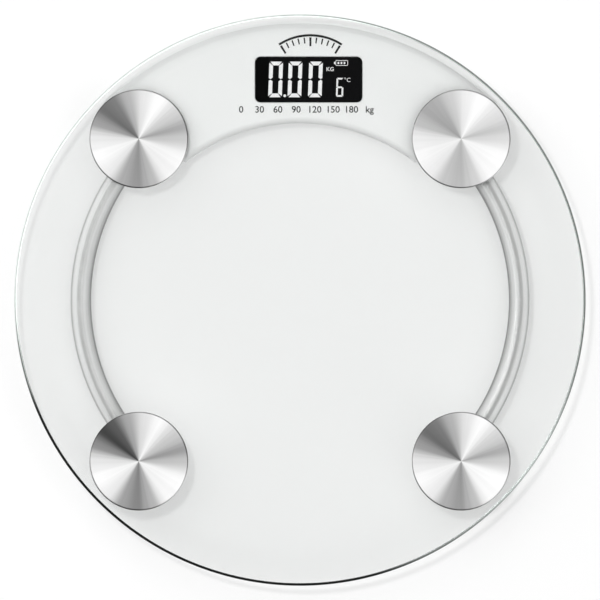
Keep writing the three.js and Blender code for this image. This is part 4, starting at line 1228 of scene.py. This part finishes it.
cut(cover, door_block("opening_tool", DOOR_WIDTH + 2 * GAP, DOOR_LENGTH + 2 * GAP, under - MM,
                      plate_top + MM))
outward(cover)
cut(cover, hinge_bar("hinge_tool", HINGE_RADIUS + GAP, DOOR_WIDTH + 2 * (PIN_LENGTH + GAP)))

walls = door_block("compartment_walls", DOOR_WIDTH + 2 * DOOR_FRAME,
                   DOOR_LENGTH + 2 * DOOR_FRAME, plate_top, frame_top)
cut(walls, at_door(rod("well", WELL_RADIUS + WELL_WALL, plate_top, well_top,
                       (0, door_middle), 64)), operation="UNION")
cut(walls, at_door(rod("well_tool", WELL_RADIUS, under, well_ceiling, (0, door_middle), 64)))
SPRING_WIDTH = 5 * MM
clip_y = door_middle + WELL_RADIUS + GAP
cut(walls, at_door(block("clip_tool", (-SPRING_WIDTH / 2 - GAP, clip_y - CLIP_FRONT, under),
                         (SPRING_WIDTH / 2 + GAP, clip_y + CLIP_BACK, well_top + MM))),
    at_door(block("leaf_tool", (-SPRING_WIDTH / 2 - GAP, door_middle - SPRING_WIDTH - LEAF_HALF,
                                well_ceiling - MM),
                  (SPRING_WIDTH / 2 + GAP, door_middle - SPRING_WIDTH + LEAF_HALF,
                   well_top + MM))))
outward(walls)
smooth(walls, 32)
wear(walls, textured)
outward(cover)
smooth(cover, 32)
wear(cover, textured, replaces=["display_cover"])

# %% [markdown]
# ## Battery door, button and screws
# The door turns about a bar along its inner edge. Its outer face has grip ribs and a notch
# for a fingernail. It is modelled at its hinge's line and turned to the hinge's own direction,
# so that it swings truly. The unit button is turned with a dimple, and one screw is turned,
# given its cross, and copied to the six places.

# %% Battery door
DOOR_CORNER = 1.5 * MM
NAIL_HALF, NAIL_REACH, NAIL_DEPTH = 4.5 * MM, 1.6 * MM, 0.7 * MM
door_end = DOOR_LENGTH - HINGE_RADIUS
corner_x, corner_y = DOOR_WIDTH / 2 - DOOR_CORNER, door_end - DOOR_CORNER
panel_outline = [
    (-DOOR_WIDTH / 2, 0), (DOOR_WIDTH / 2, 0),
    *arc(corner_x, corner_y, DOOR_CORNER, DOOR_CORNER, 0, 90),
    *arc(-corner_x, corner_y, DOOR_CORNER, DOOR_CORNER, 90, 180),
]
door = slab("coin_cell_door", panel_outline, under, door_high)
soften(door, 0.25 * MM, 2, 60)
RIB_COUNT, RIB_PITCH, RIB_LENGTH = 5, 1.6 * MM, 12 * MM
RIB_INSET, RIB_RADIUS = 5 * MM, 0.45 * MM
for index in range(RIB_COUNT):
    y = door_end - RIB_INSET - index * RIB_PITCH
    groove = rod("groove_tool", RIB_RADIUS, -RIB_LENGTH / 2, RIB_LENGTH / 2, steps=12)
    moved(groove, Matrix.Translation((0, y, under)) @ Matrix.Rotation(math.pi / 2, 4, "Y"))
    cut(door, groove)
cut(door, block("nail_tool", (-NAIL_HALF, door_end - NAIL_REACH, under - MM),
                (NAIL_HALF, DOOR_LENGTH, under + NAIL_DEPTH)))
at_door(door)
cut(door, hinge_bar("bar", HINGE_RADIUS, DOOR_WIDTH + 2 * PIN_LENGTH), operation="UNION")
outward(door)
smooth(door, 32)
wear(door, textured, "battery_door", replaces=["battery_door"])

# %% Unit button
grey = Finish("grey_button_plastic", specular_ior_level=0.4)
button_grain = grey.noise(1800, detail=3)
grey.set("base color", grey.ramp(button_grain, (0.3, (0.30, 0.31, 0.32)),
                                 (0.7, (0.38, 0.39, 0.40))))
grey.set("roughness", button_grain * 0.2 + 0.4)
grey.bump(button_grain, 0.02 * MM, 0.4)
BUTTON_ROUND = 0.3 * MM
PRESSER_RADIUS = 1.6 * MM
CATCH_RADIUS, CATCH_LOW, CATCH_HIGH = 4 * MM, 7.3 * MM, 8.1 * MM
face = button_low.z
button = turned("unit_push_button", [
    (0, face + 0.25 * MM), (0.8 * MM, face + 0.2 * MM), (1.6 * MM, face),
    *arc(BUTTON_RADIUS - BUTTON_ROUND, face + BUTTON_ROUND, BUTTON_ROUND, BUTTON_ROUND, -90, 0, 3),
    (BUTTON_RADIUS, CATCH_LOW), (CATCH_RADIUS, CATCH_LOW), (CATCH_RADIUS, CATCH_HIGH),
    (PRESSER_RADIUS, CATCH_HIGH), (PRESSER_RADIUS, button_high.z), (0, button_high.z),
], 48, BUTTON)
smooth(button, 35)
wear(button, grey, "unit_button", replaces=["unit_button"])

# %% Cover screws
zinc = Finish("zinc_screw_steel", metallic=1.0)
zinc_grain = zinc.noise(600, detail=4)
zinc.set("base color", zinc.ramp(zinc_grain, (0.3, (0.42, 0.42, 0.41)), (0.7, (0.62, 0.62, 0.60))))
zinc.set("roughness", zinc_grain * 0.2 + 0.25)
zinc.bump(zinc_grain, 0.01 * MM, 0.4)

head_radius, head_height = SCREW_HEAD
THREAD_PITCH = 1.2 * MM
THREAD_LENGTH = 8 * MM
THREAD_ROOT = SCREW_SHANK * 0.74
CROSS_LONG, CROSS_BROAD, CROSS_DEPTH = 1.5 * MM, 0.32 * MM, 0.9 * MM
seat = HEAD_FACE + head_height
tip = seat + THREAD_LENGTH
thread = []
height = seat + 0.9 * MM
while height < tip - 2.2 * MM:
    thread += [(THREAD_ROOT, height), (SCREW_SHANK, height + THREAD_PITCH / 2)]
    height += THREAD_PITCH
screw = turned("screw", [
    (0, HEAD_FACE), (1.5 * MM, HEAD_FACE + 0.05 * MM), (head_radius - 0.5 * MM, HEAD_FACE + 0.4 * MM),
    (head_radius, HEAD_FACE + 0.9 * MM), (head_radius, seat), (SCREW_SHANK * 0.9, seat),
    *thread, (THREAD_ROOT, tip - 1.6 * MM), (0, tip),
], 32)
for wide, deep in ((CROSS_LONG, CROSS_BROAD), (CROSS_BROAD, CROSS_LONG)):
    cut(screw, block("cross_tool", (-wide, -deep, HEAD_FACE - MM),
                     (wide, deep, HEAD_FACE + CROSS_DEPTH)))
outward(screw)
smooth(screw, 32)
for index, (x, y) in enumerate(SCREW_PLACES, 1):
    turn = Matrix.Rotation(math.radians(25 + 37 * index), 4, "Z")
    placed = copied(screw, f"cover_screw_{index}_fitted", Matrix.Translation((x, y, 0)) @ turn)
    wear(placed, zinc, replaces=[f"cover_screw_{index}"])
discard(screw)

# %% [markdown]
# ## Finishes for the parts inside
# The inner pieces keep their CAD shapes: load cells, cables, the display's stack, the board,
# the coin cell and its contacts. Each kind gets its own finish, put on the slots of its CAD
# objects. Their shapes are plain in real life too, so a finish at the right scale is enough.

# %% Inner finishes
def speckled(name, dark, light, scale, rough=(0.3, 0.5), relief=0.02, detail=3, **settings):
    """A finish with an even grain between two colours."""
    finish = Finish(name, **settings)
    grain = finish.noise(scale, detail=detail)
    finish.set("base color", finish.ramp(grain, (0.3, dark), (0.7, light)))
    finish.set("roughness", grain * (rough[1] - rough[0]) + rough[0])
    finish.bump(grain, relief * MM, 0.5)
    return finish


def finished(finish, *names):
    for name in names:
        node = frame["nodes"][name]
        for slot in node.material_slots:
            slot.material = finish.material
    print(finish.material.name, "on", len(names))


ends = [(end, side) for end in ("front", "rear") for side in ("left", "right")]
finished(speckled("foam_tape", (0.16, 0.16, 0.16), (0.30, 0.30, 0.30), 1500, (0.8, 0.95), 0.08),
         *[f"cap_tape_{foot}" for foot in FEET])
finished(speckled("load_cell_steel", (0.40, 0.40, 0.39), (0.58, 0.58, 0.57), 340, (0.2, 0.42),
                  metallic=1.0), *[f"load_cell_{foot}" for foot in FEET])
finished(speckled("grey_cable_sheath", (0.35, 0.35, 0.36), (0.46, 0.46, 0.47), 900, (0.45, 0.6)),
         *[f"sensor_cable_{end}_{side}" for end, side in ends])
finished(speckled("display_glass", (0.02, 0.022, 0.026), (0.035, 0.037, 0.04), 260, (0.05, 0.12),
                  0.002), "lcd_panel")
finished(speckled("light_guide", (0.72, 0.74, 0.76), (0.86, 0.87, 0.88), 700, (0.25, 0.4)),
         "backlight")

strip = Finish("striped_connector")
x, _, _ = strip.axes(strip.place())
BAND_PITCH = 0.2 * MM
bands = (x * (1 / BAND_PITCH)).maths("FRACT")
strip_grain = strip.noise(1200, detail=2)
strip.set("base color", strip.ramp(bands + strip_grain * 0.1, (0.45, (0.03, 0.03, 0.03)),
                                   (0.6, (0.75, 0.42, 0.46))))
strip.set("roughness", strip_grain * 0.2 + 0.6)
strip.bump(bands, 0.02 * MM, 0.4)
finished(strip, "lcd_connector_rear", "lcd_connector_front")

# %% Board, with its weave and tracks
board = Finish("green_board")
WEAVE_PITCH = 0.8 * MM
TRACK_PITCH = 3.2 * MM
x, y, _ = board.axes(board.place())
weave = ((x * (math.tau / WEAVE_PITCH)).maths("SINE")
         * (y * (math.tau / WEAVE_PITCH)).maths("SINE"))
lanes = ((x + y * 0.5) * (1 / TRACK_PITCH)).maths("FRACT")
tracks = lanes.between(0.4, 0.44) * (1.0 - lanes.between(0.56, 0.6))
mask_tone = board.ramp(weave * 0.2 + 0.5, (0.3, (0.006, 0.085, 0.03)), (0.7, (0.01, 0.12, 0.045)))
board.set("base color", board.blend(tracks, mask_tone, (0.03, 0.22, 0.09)))
board.set("roughness", weave * 0.05 + 0.35)
board.bump(tracks + weave * 0.2, 0.03 * MM, 0.6)
finished(board, "main_board")

# %% Switch, coin cell, contacts and leads
finished(speckled("black_epoxy", (0.012, 0.012, 0.013), (0.03, 0.03, 0.032), 420, (0.2, 0.5), 0.05),
         "controller_blob", "unit_switch")
finished(speckled("coin_cell_steel", (0.60, 0.60, 0.59), (0.76, 0.76, 0.75), 240, (0.12, 0.3), 0.005,
                  metallic=1.0), "coin_cell")
finished(speckled("plated_contact", (0.62, 0.56, 0.40), (0.80, 0.74, 0.55), 500, (0.15, 0.35), 0.01,
                  metallic=1.0), "battery_contact_negative", "battery_contact_positive")
finished(speckled("black_lead", (0.015, 0.015, 0.016), (0.04, 0.04, 0.042), 900, (0.4, 0.55)),
         "battery_lead_negative")
finished(speckled("red_lead", (0.42, 0.015, 0.012), (0.58, 0.03, 0.025), 900, (0.4, 0.55)),
         "battery_lead_positive")
finished(zinc, *[f"board_screw_{index}" for index in range(1, 5)])
